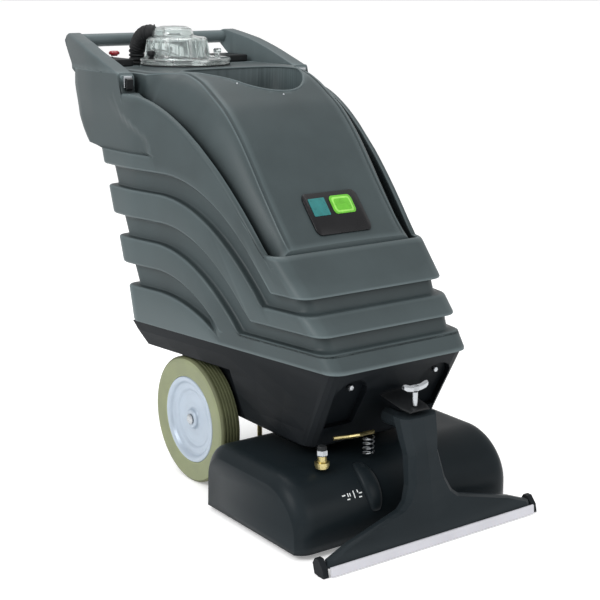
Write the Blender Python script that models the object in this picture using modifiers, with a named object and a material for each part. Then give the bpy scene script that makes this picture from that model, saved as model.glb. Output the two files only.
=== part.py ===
"""Walk-behind carpet extractor: stepped solution tank, lift-off recovery tank, brush deck and vacuum shoe.

Axes: +X to the machine's right seen from behind, -Y towards the vacuum shoe, +Z up.
Every piece is modelled about the wheel axle (y = 0) and hangs on one empty that centres the machine on the origin.
"""

import bpy
import bmesh
import math
import numpy as np
from mathutils import Matrix, Vector

# Overall
GAP = 0.0003
MERGE = 0.00002
MACHINE_FRONT = -0.5272
MACHINE_REAR = 0.4665
AXLE_Y = -(MACHINE_FRONT + MACHINE_REAR) / 2

# Wheels
WHEEL_R = 0.127
WHEEL_WIDTH = 0.045
WHEEL_OUTER_X = 0.199
RIM_R = 0.0867
AXLE_R = 0.008
WHEEL_STEPS = 28

# Body lines: the tank's flat bottom, its half width at the front and how it flares to the rear
TANK_BOTTOM = 0.310
TANK_TOP = 0.795
FLARE_X0 = 0.2261
FLARE = 0.165
FLARE_END_Y = 0.15
DRAFT = 0.045
CORNER_R = 0.030
REAR_CORNER_R = 0.022
RECESS = 0.015
ARM_INNER_X = 0.1955
ARM_FRONT_Y = 0.186
ARM_THICKNESS = 0.0335
GRIP_END_Y = 0.4665
LATCH_STEP_Z = 0.7605

# Recovery tank
CREASE_X = 0.131
DOME_X = -0.006
DOME_Y = 0.306
DOME_FLANGE_R = 0.096
DOME_HOLE_R = 0.058
DOME_BASE = 0.8003
NEST_FRONT = -0.264
NEST_REAR = 0.326
NEST_STEP = 0.018
NEST_GAP = 0.0038
HEEL_DROP = 0.004
BOSS_BOTTOM = 0.732
DECK_TOP = 0.797
GRIP_Y = 0.4525
GRIP_Z = 0.855
GRIP_R = 0.014

# Hose from the dome's upper tier down into the riser
HOSE_R = 0.020
SPIGOT_R = 0.0125
SPIGOT_REACH = 0.0645
SPIGOT_Z = 0.8705
SPIGOT_WAY = (-0.7493, 0.6622)
HOSE_X = -0.066
HOSE_Y = 0.408
LINK_TOP = 0.1470
RISER_FLOOR = 0.7775

# Brush deck and shoe
POCKET_DEPTH = 0.014
DECK_HALF = 0.2477
DECK_FRONT = -0.448
DECK_REAR = -0.136
DECK_HEIGHT = 0.135
DECK_WALL = 0.006
BRUSH_Y = -0.345
BRUSH_Z = 0.058
BRUSH_R = 0.055
MOTOR_Y = -0.205
MOTOR_Z = 0.075
SHOE_HALF = 0.2498

SLATE = (0.105, 0.135, 0.140, 1)
BLACK = (0.012, 0.015, 0.018, 1)
GRAPHITE = (0.030, 0.040, 0.048, 1)
STEEL = (0.62, 0.64, 0.66, 1)
BRASS = (0.60, 0.42, 0.14, 1)


# ---------------------------------------------------------------- scene and helpers

def clear_scene():
    for obj in list(bpy.data.objects):
        bpy.data.objects.remove(obj, do_unlink=True)


def new_collection(name):
    collection = bpy.data.collections.new(name)
    bpy.context.scene.collection.children.link(collection)
    return collection


def material(name, colour, roughness, metallic=0.0):
    mat = bpy.data.materials.new(name)
    mat.use_nodes = True
    shader = mat.node_tree.nodes["Principled BSDF"]
    shader.inputs["Base Color"].default_value = colour
    shader.inputs["Roughness"].default_value = roughness
    shader.inputs["Metallic"].default_value = metallic
    mat.diffuse_color = colour
    return mat


def mesh_object(name, bm):
    """An object from a bmesh, not yet linked anywhere."""
    bmesh.ops.recalc_face_normals(bm, faces=bm.faces)
    mesh = bpy.data.meshes.new(name)
    bm.to_mesh(mesh)
    bm.free()
    return bpy.data.objects.new(name, mesh)


def finish(obj, mat, angle=35.0):
    """Give a part its material and shading and hang it on the machine's empty."""
    obj.data.materials.clear()
    obj.data.materials.append(mat)
    obj.data.shade_smooth()
    obj.data.set_sharp_from_angle(angle=math.radians(angle))
    PARTS.objects.link(obj)
    obj.parent = MACHINE
    return obj


def baked(obj, collection):
    """Apply an object's modifiers by taking its evaluated mesh, and return the plain object."""
    collection.objects.link(obj)
    graph = bpy.context.evaluated_depsgraph_get()
    mesh = bpy.data.meshes.new_from_object(obj.evaluated_get(graph))
    plain = bpy.data.objects.new(obj.name + "_plain", mesh)
    plain.matrix_world = obj.matrix_world.copy()
    name = obj.name
    bpy.data.objects.remove(obj, do_unlink=True)
    plain.name = name
    return plain


def cut(obj, cutters, operation="DIFFERENCE"):
    """Boolean obj with each cutter in turn; the cutters stay in their own collection."""
    for cutter in cutters:
        CUTTERS.objects.link(cutter)
        cutter.hide_render = True
        cutter.display_type = "WIRE"
        boolean = obj.modifiers.new(operation.title(), "BOOLEAN")
        boolean.operation = operation
        boolean.solver = "EXACT"
        boolean.object = cutter
        obj.modifiers.new("Triangulate", "TRIANGULATE").ngon_method = "CLIP"
        obj = baked(obj, CUTTERS)
        bm = bmesh.new()
        bm.from_mesh(obj.data)
        bmesh.ops.remove_doubles(bm, verts=bm.verts, dist=MERGE)
        bmesh.ops.dissolve_degenerate(bm, edges=bm.edges, dist=MERGE)
        bm.to_mesh(obj.data)
        bm.free()
    return obj


def strip_cap(bm, row):
    """Close a ring that is the same on both sides with level strips across the machine."""
    count = len(row)
    middle = count // 2
    bm.faces.new([row[i] for i in range(-3, 4)])
    for i in range(3, middle - 3):
        bm.faces.new((row[i], row[i + 1], row[count - i - 1], row[count - i]))
    bm.faces.new([row[i] for i in range(middle - 3, middle + 4)])


def loft(name, rings, strip_end=False):
    """A closed body through rings of the same number of points."""
    bm = bmesh.new()
    rows = [[bm.verts.new(p) for p in ring] for ring in rings]
    count = len(rings[0])
    for low, high in zip(rows, rows[1:]):
        for i in range(count):
            j = (i + 1) % count
            bm.faces.new((low[i], low[j], high[j], high[i]))
    bm.faces.new(rows[0])
    if strip_end:
        strip_cap(bm, rows[-1])
    else:
        bm.faces.new(rows[-1])
    bmesh.ops.triangulate(bm, faces=bm.faces)
    return mesh_object(name, bm)


def box(name, low, high, bevel=0.0, segments=2):
    bm = bmesh.new()
    bmesh.ops.create_cube(bm, size=1.0)
    low = Vector(low)
    high = Vector(high)
    size = high - low
    bm.transform(Matrix.Translation((low + high) / 2) @ Matrix.Diagonal((size.x, size.y, size.z, 1)))
    if bevel > 0:
        bmesh.ops.bevel(bm, geom=bm.edges[:], offset=bevel, segments=segments, affect="EDGES", profile=0.5)
    return mesh_object(name, bm)


def turned(name, profile, place, axis="Z", steps=32):
    """A closed profile of (radius, height) turned about an axis through place, as a Screw modifier."""
    bm = bmesh.new()
    verts = [bm.verts.new((r, 0, z)) for r, z in profile]
    on_axis = profile[0][0] == 0 and profile[-1][0] == 0
    pairs = list(zip(verts, verts[1:]))
    if not on_axis:
        pairs.append((verts[-1], verts[0]))
    for a, b in pairs:
        bm.edges.new((a, b))
    mesh = bpy.data.meshes.new(name)
    bm.to_mesh(mesh)
    bm.free()
    obj = bpy.data.objects.new(name, mesh)
    screw = obj.modifiers.new("Screw", "SCREW")
    screw.angle = math.tau
    screw.steps = steps
    screw.render_steps = steps
    screw.use_merge_vertices = True
    screw.merge_threshold = 0.00005
    screw.use_normal_calculate = True
    turn = {"Z": Matrix.Identity(4), "X": Matrix.Rotation(math.pi / 2, 4, "Y"),
            "Y": Matrix.Rotation(-math.pi / 2, 4, "X")}[axis]
    plain = baked(obj, CUTTERS)
    bm = bmesh.new()
    bm.from_mesh(plain.data)
    bmesh.ops.remove_doubles(bm, verts=bm.verts, dist=MERGE)
    bm.transform(Matrix.Translation(place) @ turn)
    bpy.data.objects.remove(plain, do_unlink=True)
    return mesh_object(name, bm)


def cylinder(name, radius, low, high, place, axis="Z", steps=24):
    return turned(name, [(0, low), (radius, low), (radius, high), (0, high)], place, axis, steps)


def tube(name, points, radius, resolution=3, cyclic=False):
    """A bent rod or hose along a smooth path, welded into one closed mesh."""
    curve = bpy.data.curves.new(name, "CURVE")
    curve.dimensions = "3D"
    curve.bevel_depth = radius
    curve.bevel_resolution = resolution
    curve.use_fill_caps = not cyclic
    spline = curve.splines.new("POLY")
    spline.points.add(len(points) - 1)
    for point, place in zip(spline.points, points):
        point.co = (*place, 1)
    spline.use_cyclic_u = cyclic
    obj = bpy.data.objects.new(name, curve)
    plain = baked(obj, CUTTERS)
    bm = bmesh.new()
    bm.from_mesh(plain.data)
    bmesh.ops.remove_doubles(bm, verts=bm.verts, dist=MERGE)
    bpy.data.objects.remove(plain, do_unlink=True)
    return mesh_object(name, bm)


def smooth_path(points, count):
    """Evenly counted points on a Catmull-Rom curve through the given ones."""
    pts = [np.array(p, float) for p in points]
    pts = [2 * pts[0] - pts[1]] + pts + [2 * pts[-1] - pts[-2]]
    out = []
    for k in range(count):
        u = k / (count - 1) * (len(pts) - 3)
        i = min(int(u), len(pts) - 4)
        t = u - i
        a, b, c, d = pts[i:i + 4]
        out.append(0.5 * (2 * b + (c - a) * t + (2 * a - 5 * b + 4 * c - d) * t * t
                          + (3 * b - a - 3 * c + d) * t ** 3))
    return [tuple(p) for p in out]


# ---------------------------------------------------------------- body lines

def waterfall(y, rear_z, front_z, crest_y, length, power=2.0):
    """Height of a band edge: level at the rear, falling in a parabola to a level front."""
    t = np.clip((crest_y - y) / length, 0, 1)
    return rear_z + (front_z - rear_z) * t ** power


def side_x(y, z):
    """Half width of the tank's outer side: flared to the rear, then parallel, with a little draft."""
    return FLARE_X0 + FLARE * min(y, FLARE_END_Y) - DRAFT * (z - TANK_BOTTOM)


def front_y(z):
    """Front outline of the stepped front, and above the ledge the recovery tank's slope."""
    return np.interp(z, [0.311, 0.343, 0.370, 0.403, 0.430, 0.497, 0.550, 0.655, 0.755],
                     [-0.425, -0.400, -0.390, -0.355, -0.344, -0.275, -0.240, -0.155, -0.030])


def rear_y(z):
    """Rear outline, stepping out above the bands."""
    return np.interp(z, [0.310, 0.382, 0.424, 0.476, 0.517, 0.572, 0.612, 0.640, 0.646, 0.700, 0.760],
                     [0.139, 0.157, 0.176, 0.196, 0.218, 0.241, 0.261, 0.273, 0.335, 0.400, 0.442])


def rim_z(y):
    """The solution tank's top edge: low ledge in front, sweeping up to the rear deck."""
    low = waterfall(y, 0.757, 0.497, 0.150, 0.388, 1.75)
    return low + (TANK_TOP - 0.757) * float(np.clip((y - 0.150) / 0.035, 0, 1))


def band_edges():
    """Rows of the shell from the bottom up: how z runs along the side, and how deep the row lies."""
    upper = 0.004
    return [
        (lambda y: TANK_BOTTOM, 0, "none"),
        (lambda y: waterfall(y, 0.382, 0.322, 0.06, 0.19), 0, "none"),
        (lambda y: waterfall(y, 0.386, 0.326, 0.06, 0.19), 1, "third"),
        (lambda y: waterfall(y, 0.418, 0.332, 0.06, 0.19), 1, "third"),
        (lambda y: waterfall(y, 0.424, 0.337, 0.06, 0.19), 0, "none"),
        (lambda y: waterfall(y, 0.476, 0.343, 0.07, 0.25), 0, "none"),
        (lambda y: waterfall(y, 0.476 + upper, 0.343 + upper, 0.07, 0.25), 1, "all"),
        (lambda y: waterfall(y, 0.513, 0.366, 0.05, 0.258), 1, "all"),
        (lambda y: waterfall(y, 0.517, 0.370, 0.05, 0.258), 0, "none"),
        (lambda y: waterfall(y, 0.572, 0.403, 0.06, 0.298), 0, "none"),
        (lambda y: waterfall(y, 0.572 + upper, 0.403 + upper, 0.06, 0.298), 1, "all"),
        (lambda y: waterfall(y, 0.608, 0.426, 0.045, 0.305), 1, "all"),
        (lambda y: waterfall(y, 0.612, 0.430, 0.045, 0.305), 0, "none"),
        (lambda y: waterfall(y, 0.640, 0.462, 0.045, 0.305), 0, "none"),
        (lambda y: waterfall(y, 0.646, 0.468, 0.045, 0.305), 0, "none"),
        (lambda y: waterfall(y, 0.700, 0.478, 0.100, 0.345), 0, "none"),
        (lambda y: rim_z(y), 0, "none"),
    ]


def plan_ring(z_of_y, inset, columns=13, corner=3):
    """One ring of the tank: front face, rounded corner, flared side, rear corner and rear face."""
    half = []
    front_z = z_of_y(-0.30)
    rear_z = z_of_y(0.30)
    yf = float(front_y(front_z)) + inset(-0.30)
    yr = float(rear_y(rear_z)) - inset(0.30)
    radius = CORNER_R
    corner_x = side_x(yf + radius, front_z) - inset(-0.30) - radius
    half.append((0.0, yf, front_z))
    half.append((corner_x * 0.55, yf, front_z))
    for k in range(corner):
        a = k / corner * math.pi / 2
        half.append((corner_x + radius * math.sin(a), yf + radius - radius * math.cos(a), front_z))
    for k in range(columns + 1):
        t = k / columns
        z = front_z
        for _ in range(12):
            low = float(front_y(z)) + inset(-0.30) + radius
            high = float(rear_y(z)) - inset(0.30) - REAR_CORNER_R
            y = low + (high - low) * t
            z = z_of_y(y)
        half.append((side_x(y, z) - inset(y), y, z))
    rear_x = half[-1][0] - REAR_CORNER_R
    for k in range(1, 3):
        a = k / 2 * math.pi / 2
        half.append((rear_x + REAR_CORNER_R * math.cos(a), yr - REAR_CORNER_R * (1 - math.sin(a)), rear_z))
    half.append((rear_x * 0.5, yr, rear_z))
    half.append((0.0, yr, rear_z))
    other = [(-x, y, z) for x, y, z in half[-2:0:-1]]
    return half + other


def recess_inset(kind):
    """How deep a recessed row lies at each y; the third recess fades out before the front."""
    if kind == "all":
        return lambda y: RECESS
    if kind == "third":
        return lambda y: RECESS * float(np.clip((y + 0.125) / 0.03, 0, 1))
    return lambda y: 0.0


def cavity_x(y):
    """Half width of the nest the recovery tank drops into: inside the rim in front, inside the arms behind."""
    beside_rim = side_x(y, rim_z(y)) - 0.012
    return float(beside_rim + (ARM_INNER_X - beside_rim) * np.clip((y - 0.115) / 0.05, 0, 1))


def knee_z(y):
    """Where the nest steps in, a little above the first recess, so the wall keeps its thickness behind it."""
    return float(waterfall(y, 0.640, 0.462, 0.045, 0.305))


def nest_cutter():
    """The nest and the water space below it, narrower where the recesses come in."""
    def ring(z_of_y, front, rear, shrink, count=16):
        half = [(0.0, front, z_of_y(front))]
        for k in range(count + 1):
            y = front + (rear - front) * k / count
            z = z_of_y(y)
            room = side_x(y, z) - 0.012
            half.append((room - shrink if shrink else min(cavity_x(y) + 0.0032, room), y, z))
        half.append((0.0, rear, z_of_y(rear)))
        return half + [(-x, y, z) for x, y, z in half[-2:0:-1]]

    main = loft("nest_cutter", [
        ring(lambda y: TANK_BOTTOM + 0.010, -0.360, 0.120, NEST_STEP),
        ring(lambda y: knee_z(y) - 0.070, -0.300, 0.200, NEST_STEP),
        ring(lambda y: knee_z(y) - 0.014, NEST_FRONT, 0.252, NEST_STEP),
        ring(lambda y: knee_z(y) - 0.004, NEST_FRONT, 0.256, 0.0),
        ring(lambda y: 0.656, NEST_FRONT, NEST_REAR, 0.0),
        ring(lambda y: 0.900, NEST_FRONT, NEST_REAR, 0.0),
    ])
    boss = cylinder("nest_boss_cutter", DOME_FLANGE_R + 0.0025, BOSS_BOTTOM - 0.006, 0.90, (DOME_X, DOME_Y, 0), steps=40)
    return cut(main, [boss], "UNION")


def arm_outer_x(y, z):
    """The arm's outer face follows the tank's side, then eases inwards towards the grip."""
    return side_x(y, z) + 0.001 - 0.020 * float(np.clip((y - 0.30) / 0.16, 0, 1)) ** 1.5


def arm_plate(side):
    """A handle arm that rises from the tank's side to the grip, with its outer edges broken."""
    rows = []
    for y in (ARM_FRONT_Y, 0.200, 0.262, 0.300, 0.328, 0.350, 0.380, 0.411, 0.421, 0.434, 0.446, 0.456, 0.462, GRIP_END_Y):
        high = float(np.interp(y, [ARM_FRONT_Y, 0.200, 0.280, 0.360, 0.420, 0.447, 0.460, GRIP_END_Y],
                               [0.791, 0.797, 0.826, 0.853, 0.868, 0.8735, 0.868, 0.858]))
        low = float(np.interp(y, [ARM_FRONT_Y, 0.262, 0.340, 0.411, 0.421, 0.446, 0.462, GRIP_END_Y],
                              [0.690, 0.6455, 0.650, 0.790, 0.812, 0.830, 0.842, 0.852]))
        edge = min(0.004, (high - low) * 0.3)
        inner = arm_outer_x(y, TANK_TOP) - ARM_THICKNESS
        section = [(inner, low), (arm_outer_x(y, low) - edge, low), (arm_outer_x(y, low), low + edge),
                   (arm_outer_x(y, high), high - edge), (arm_outer_x(y, high) - edge, high), (inner, high)]
        rows.append([(side * x, y, z) for x, z in section])
    return loft("arm_plate_right" if side > 0 else "arm_plate_left", rows)


# ---------------------------------------------------------------- tanks

def solution_tank(mat):
    rings = []
    for z_of_y, deep, kind in band_edges():
        rings.append(plan_ring(z_of_y, recess_inset(kind if deep else "none")))
    shell = loft("solution_tank", rings, strip_end=True)
    hose_hole = cylinder("riser_hole_cutter", HOSE_R + 0.003, RISER_FLOOR, 0.90, (HOSE_X, HOSE_Y, 0))
    steps = [box("latch_step_right", (0.180, 0.120, LATCH_STEP_Z), (0.260, ARM_FRONT_Y + 0.004, 0.850)),
             box("latch_step_left", (-0.260, 0.120, LATCH_STEP_Z), (-0.180, ARM_FRONT_Y + 0.004, 0.850))]
    shell = cut(shell, steps + [nest_cutter(), hose_hole])
    shell = cut(shell, [arm_plate(1), arm_plate(-1)], "UNION")
    return finish(shell, mat)


def top_z(y):
    """Front slope and flat top of the recovery tank, along the middle."""
    return float(np.interp(y, [-0.259, -0.236, -0.216, -0.170, -0.129, -0.094, -0.052, -0.017, 0.030, 0.090],
                           [0.503, 0.528, 0.550, 0.604, 0.655, 0.695, 0.733, 0.755, 0.781, DECK_TOP]))


def bottom_z(y):
    """Underside of the recovery tank: it rises to the rear to clear the solution tank's sloping wall."""
    return float(np.interp(y, [-0.259, -0.200, 0.130, 0.240, 0.280, 0.322], [0.475, 0.470, 0.504, 0.642, 0.672, 0.690]))


def crease_x(y):
    t = float(np.clip((y - 0.085) / 0.085, 0, 1))
    return CREASE_X + 0.046 * t * t * (3 - 2 * t)


def recovery_section(y):
    """Closed section of the recovery tank at y: crowned top, crease, rib, valley, heel and flat bottom."""
    side = cavity_x(y) - NEST_GAP
    crease = crease_x(y)
    width = side - crease
    top = top_z(y)
    low = rim_z(y) - HEEL_DROP
    floor = bottom_z(y)
    crown = 0.0001 + 0.002 * (1 - float(np.clip((y - 0.10) / 0.07, 0, 1)))
    half = [(0.0, top + crown), (crease * 0.6, top + crown * 0.7), (crease, top),
            (crease + width * 0.28, top * 0.97 + low * 0.03), (crease + width * 0.55, top * 0.62 + low * 0.38),
            (crease + width * 0.78, top * 0.20 + low * 0.80), (side, low),
            (side - NEST_STEP, max(low - 0.012, floor + 0.002)), (side - NEST_STEP, floor), (0.0, floor)]
    ring = half + [(-x, z) for x, z in half[-2:0:-1]]
    return [(x, y, z) for x, z in ring]


def hollow_section(y):
    """Section of the space inside it, a wall's thickness in from the top, the narrow sides and the floor."""
    wall = 0.006
    side = cavity_x(y) - NEST_GAP - NEST_STEP - 0.008
    top = top_z(y) - wall
    half = [(0.0, top), (crease_x(y) * 0.6, top - 0.0004), (crease_x(y) - wall, top - 0.001),
            (side, rim_z(y) - HEEL_DROP - 0.004), (side, bottom_z(y) + wall), (0.0, bottom_z(y) + wall)]
    ring = half + [(-x, z) for x, z in half[-2:0:-1]]
    return [(x, y, z) for x, z in ring]


def well_solid(name, grow, bottom, top):
    """The fill well: a rounded rectangle straight down through the front shoulder."""
    low = (-0.108 - grow, 0.006 - grow)
    high = (0.122 + grow, 0.175 + grow)
    radius = 0.052 + grow
    ring = []
    for cx, cy, start in ((high[0], high[1], 0), (low[0], high[1], 90), (low[0], low[1], 180), (high[0], low[1], 270)):
        sx = -1 if cx > 0 else 1
        sy = -1 if cy > 0.1 else 1
        for k in range(7):
            a = math.radians(start + 15 * k)
            ring.append((cx + sx * radius + radius * math.cos(a), cy + sy * radius + radius * math.sin(a)))
    return loft(name, [[(x, y, z) for x, y in ring] for z in (bottom, top)])


def recovery_tank(mat):
    stations = [-0.259, -0.236, -0.200, -0.165, -0.129, -0.094, -0.052, -0.017, 0.030, 0.060, 0.090, 0.115, 0.140,
                0.165, 0.200, 0.240, 0.280, 0.322]
    body = loft("recovery_tank", [recovery_section(y) for y in stations])
    boss = cylinder("dome_boss", DOME_FLANGE_R + 0.0005, BOSS_BOTTOM, DECK_TOP + 0.0005, (DOME_X, DOME_Y, 0), steps=40)
    body = cut(body, [boss], "UNION")
    inner = [-0.226, -0.165, -0.129, -0.094, -0.052, -0.017, 0.030, 0.060, 0.090, 0.115, 0.165, 0.240, 0.280, 0.315]
    hollow = loft("recovery_hollow", [hollow_section(y) for y in inner])
    hollow = cut(hollow, [well_solid("well_outside", 0.005, 0.685, 0.86)])
    neck = cylinder("dome_neck_cutter", DOME_HOLE_R, BOSS_BOTTOM + 0.005, 0.86, (DOME_X, DOME_Y, 0), steps=40)
    well = well_solid("well_cutter", 0.0, 0.690, 0.86)
    body = cut(body, [well, hollow, neck])
    return finish(body, mat)




def dome_lid(mat):
    """Clear lid in two round tiers over a flange, hollow inside, with a port for the hose."""
    z = DOME_BASE
    profile = [(0, z + 0.0927), (0.030, z + 0.0915), (0.0415, z + 0.0865), (0.0435, z + 0.058), (0.0605, z + 0.0535),
               (0.0635, z + 0.0490), (0.0655, z + 0.0120), (DOME_FLANGE_R - 0.003, z + 0.0120),
               (DOME_FLANGE_R, z + 0.0090), (DOME_FLANGE_R, z), (0.0625, z), (0.0600, z + 0.0470),
               (0.0560, z + 0.0505), (0.0405, z + 0.0545), (0.0385, z + 0.0845), (0.0290, z + 0.0885), (0, z + 0.0895)]
    lid = turned("dome_lid", profile, (DOME_X, DOME_Y, 0), steps=32)
    heading = Vector((*SPIGOT_WAY, 0))
    turn = Vector((0, 0, 1)).rotation_difference(heading).to_matrix().to_4x4()
    spigot = cylinder("spigot", SPIGOT_R, 0.0402, SPIGOT_REACH, (0, 0, 0), steps=20)
    spigot.data.transform(Matrix.Translation((DOME_X, DOME_Y, SPIGOT_Z)) @ turn)
    return finish(cut(lid, [spigot], "UNION"), mat)


def dome_gasket(mat):
    profile = [(0.0620, DECK_TOP + 0.0008), (DOME_FLANGE_R - 0.001, DECK_TOP + 0.0008),
               (DOME_FLANGE_R - 0.001, DOME_BASE - GAP), (0.0620, DOME_BASE - GAP)]
    return finish(turned("dome_gasket", profile[::-1], (DOME_X, DOME_Y, 0), steps=40), mat)


def lid_knob(name, angle, mat):
    """A hand knob that clamps the lid's flange."""
    place = (DOME_X + 0.085 * math.cos(angle), DOME_Y + 0.085 * math.sin(angle), DOME_BASE + 0.0120 + GAP)
    profile = [(0, 0.0165), (0.0065, 0.0165), (0.0082, 0.0145), (0.0082, 0.0070), (0.0045, 0.0055), (0.0045, 0.0020),
               (0.0075, 0.0015), (0.0075, 0.0), (0, 0)]
    knob = turned(name, profile, (0, 0, 0), steps=18)
    finish(knob, mat)
    knob.location = place
    return knob


def vacuum_hose(mat):
    """Ribbed elbow from the lid's upper tier, over the flange and down into the riser."""
    ends = [(DOME_X + SPIGOT_WAY[0] * r, DOME_Y + SPIGOT_WAY[1] * r, SPIGOT_Z - 0.0005) for r in (0.0685, 0.0745)]
    route = smooth_path(ends + [(-0.0655, 0.3720, 0.8650), (HOSE_X, 0.3920, 0.8520), (HOSE_X, 0.4060, 0.8320),
                                (HOSE_X, HOSE_Y, 0.8100), (HOSE_X, HOSE_Y, 0.7965)], 26)
    return finish(tube("vacuum_hose", route, HOSE_R - 0.002, 3), mat, 50)


def label_plate(mat):
    """Blank badge on the front slope, bent to it."""
    rows = []
    for x, inset in ((-0.053, 0.006), (-0.047, 0.0), (0.058, 0.0), (0.064, 0.006)):
        low = -0.246 + inset
        high = -0.184 - inset
        count = 6
        outer = []
        inner = []
        for k in range(count):
            y = low + (high - low) * k / (count - 1)
            lift = 0.0036 * (1 - abs(x) / CREASE_X * 0.4)
            outer.append((x, y - 0.0022, top_z(y) + lift + 0.0020))
            inner.append((x, y, top_z(y) + lift))
        rows.append(outer + inner[::-1])
    return finish(loft("label_plate", rows), mat)


def fill_strainer(mat):
    """Perforated-look basket seat at the bottom of the fill well."""
    profile = [(0, 0.6935), (0.026, 0.6945), (0.026, 0.7120), (0.030, 0.7120), (0.032, 0.7110), (0.032, 0.6903), (0, 0.6903)]
    return finish(turned("fill_strainer", profile, (0.040, 0.075, 0), steps=24), mat)


def standpipe(mat):
    profile = [(0.018, 0.6870), (0.018, 0.815), (0.0205, 0.815), (0.0205, 0.6870)]
    return finish(turned("standpipe", profile, (DOME_X - 0.020, DOME_Y - 0.026, 0), steps=20), mat)


def float_rod(mat):
    return finish(cylinder("float_rod", 0.003, 0.6800, 0.815, (DOME_X + 0.026, DOME_Y - 0.026, 0), steps=12), mat)


def shutoff_float(mat):
    """Ball float with a bore that slides on its rod."""
    profile = [(0.00306, 0.024), (0.010, 0.0225), (0.017, 0.0165), (0.0190, 0.006), (0.0190, -0.006), (0.017, -0.0165),
               (0.010, -0.0225), (0.00306, -0.024)]
    body = turned("shutoff_float", profile, (0, 0, 0), steps=20)
    finish(body, mat)
    body.location = (DOME_X + 0.026, DOME_Y - 0.026, 0.735)
    return body


# ---------------------------------------------------------------- grip, console and latches

def grip_bar(mat):
    half = arm_outer_x(GRIP_Y, GRIP_Z) - ARM_THICKNESS - 0.0022
    bar = cylinder("handle_bar", GRIP_R, -half, half, (0, GRIP_Y, GRIP_Z), "X", 28)
    return finish(bar, mat)


def console(mat):
    return finish(box("control_console", (-0.178, 0.345, TANK_TOP + 0.0008), (-0.108, 0.434, 0.811), 0.003), mat)


def console_cover(mat):
    """The blank cover on the other side, where the mains lead comes in."""
    return finish(box("inlet_cover", (0.108, 0.345, TANK_TOP + 0.0008), (0.178, 0.434, 0.811), 0.003), mat)


def cable_gland(mat):
    profile = [(0, 0), (0.0074, 0), (0.0074, 0.005), (0.0062, 0.006), (0.0052, 0.022), (0, 0.022)]
    return finish(turned("cable_gland", profile[::-1], (0.145, 0.434 + GAP, 0.8034), "Y", 16), mat)


def red_button(mat):
    profile = [(0, 0.0150), (0.008, 0.0150), (0.0115, 0.0125), (0.0115, 0.0080), (0.0070, 0.0065), (0.0070, 0.0045), (0, 0.0045)]
    button = turned("stop_button", profile, (0, 0, 0), steps=20)
    finish(button, mat)
    button.location = (-0.128, 0.395, 0.811)
    return button


def rocker(name, y, mat):
    """A rocker switch cap: a shallow V on its pivot."""
    outline = [(-0.0105, 0.0050), (0, 0.0032), (0.0105, 0.0068), (0.0105, 0.0012), (-0.0105, 0.0012)]
    cap = loft(name, [[(x, dy, z) for dy, z in outline] for x in (-0.0065, 0.0065)])
    finish(cap, mat)
    cap.location = (-0.156, y, 0.811 + 0.0008)
    return cap


def latch(side, mats):
    """A draw latch in the step at the front of each arm: a keeper plate and a lever on a pin."""
    name = "right" if side > 0 else "left"
    x = side * 0.2110
    plate = box(f"latch_plate_{name}", (x - 0.009, ARM_FRONT_Y - 0.0038, 0.7660),
                (x + 0.009, ARM_FRONT_Y - GAP, 0.7895), 0.0008, 1)
    finish(plate, mats["steel"])
    outline = [(-0.0012, 0.0), (-0.0050, 0.0), (-0.0085, -0.0020), (-0.0070, -0.0200), (-0.0030, -0.0240),
               (-0.0012, -0.0210)]
    lever = loft(f"latch_lever_{name}", [[(dx, y, z) for y, z in outline] for dx in (-0.0065, 0.0065)])
    finish(lever, mats["black"])
    lever.location = (x, ARM_FRONT_Y - 0.0038 - GAP, 0.7850)
    return plate, lever


# ---------------------------------------------------------------- base and wheels

def base_front_y(z):
    """The base's front wall leans back as it goes down."""
    return -0.4190 + 0.084 * (TANK_BOTTOM - z) / 0.160


def base_section(z, inset=0.0):
    """Plan of the black base at height z: it follows the tank, then tapers to a narrow keel."""
    drop = (TANK_BOTTOM - z) / 0.160
    front = base_front_y(z)
    rear = 0.1330 - 0.060 * drop
    front_half = 0.1530 - 0.006 * drop
    rear_half = 0.2430 - 0.095 * drop ** 1.2
    radius = 0.026
    half = [(0.0, front + inset, z)]
    corner_x = front_half - inset - radius
    corner_y = front + inset + radius
    for k in range(5):
        a = k / 4 * math.pi / 2
        half.append((corner_x + radius * math.sin(a), corner_y - radius * math.cos(a), z))
    count = 6
    for k in range(1, count + 1):
        t = k / count
        y = corner_y + (rear - inset - corner_y) * t
        half.append((front_half - inset + (rear_half - front_half) * t, y, z))
    half.append((0.0, rear - inset, z))
    return half + [(-x, y, z) for x, y, z in half[-2:0:-1]]


def wheel_well(side):
    name = "wheel_well_right" if side > 0 else "wheel_well_left"
    low = (min(side * 0.1485, side * 0.300), -0.1335, 0.0)
    high = (max(side * 0.1485, side * 0.300), 0.1700, 0.2600)
    return box(name, low, high)


def front_pocket(side):
    """An arched pocket in the base's front face."""
    x = side * 0.098
    ring = []
    for k in range(9):
        a = math.pi * k / 8
        ring.append((x + 0.036 * math.cos(a), 0.262 + 0.030 * math.sin(a)))
    ring += [(x - 0.031, 0.195), (x + 0.031, 0.195)]
    name = "pocket_right" if side > 0 else "pocket_left"
    return loft(name, [[(px, -0.46, pz) for px, pz in ring],
                       [(px, base_front_y(pz) + POCKET_DEPTH, pz) for px, pz in ring]])


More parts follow.
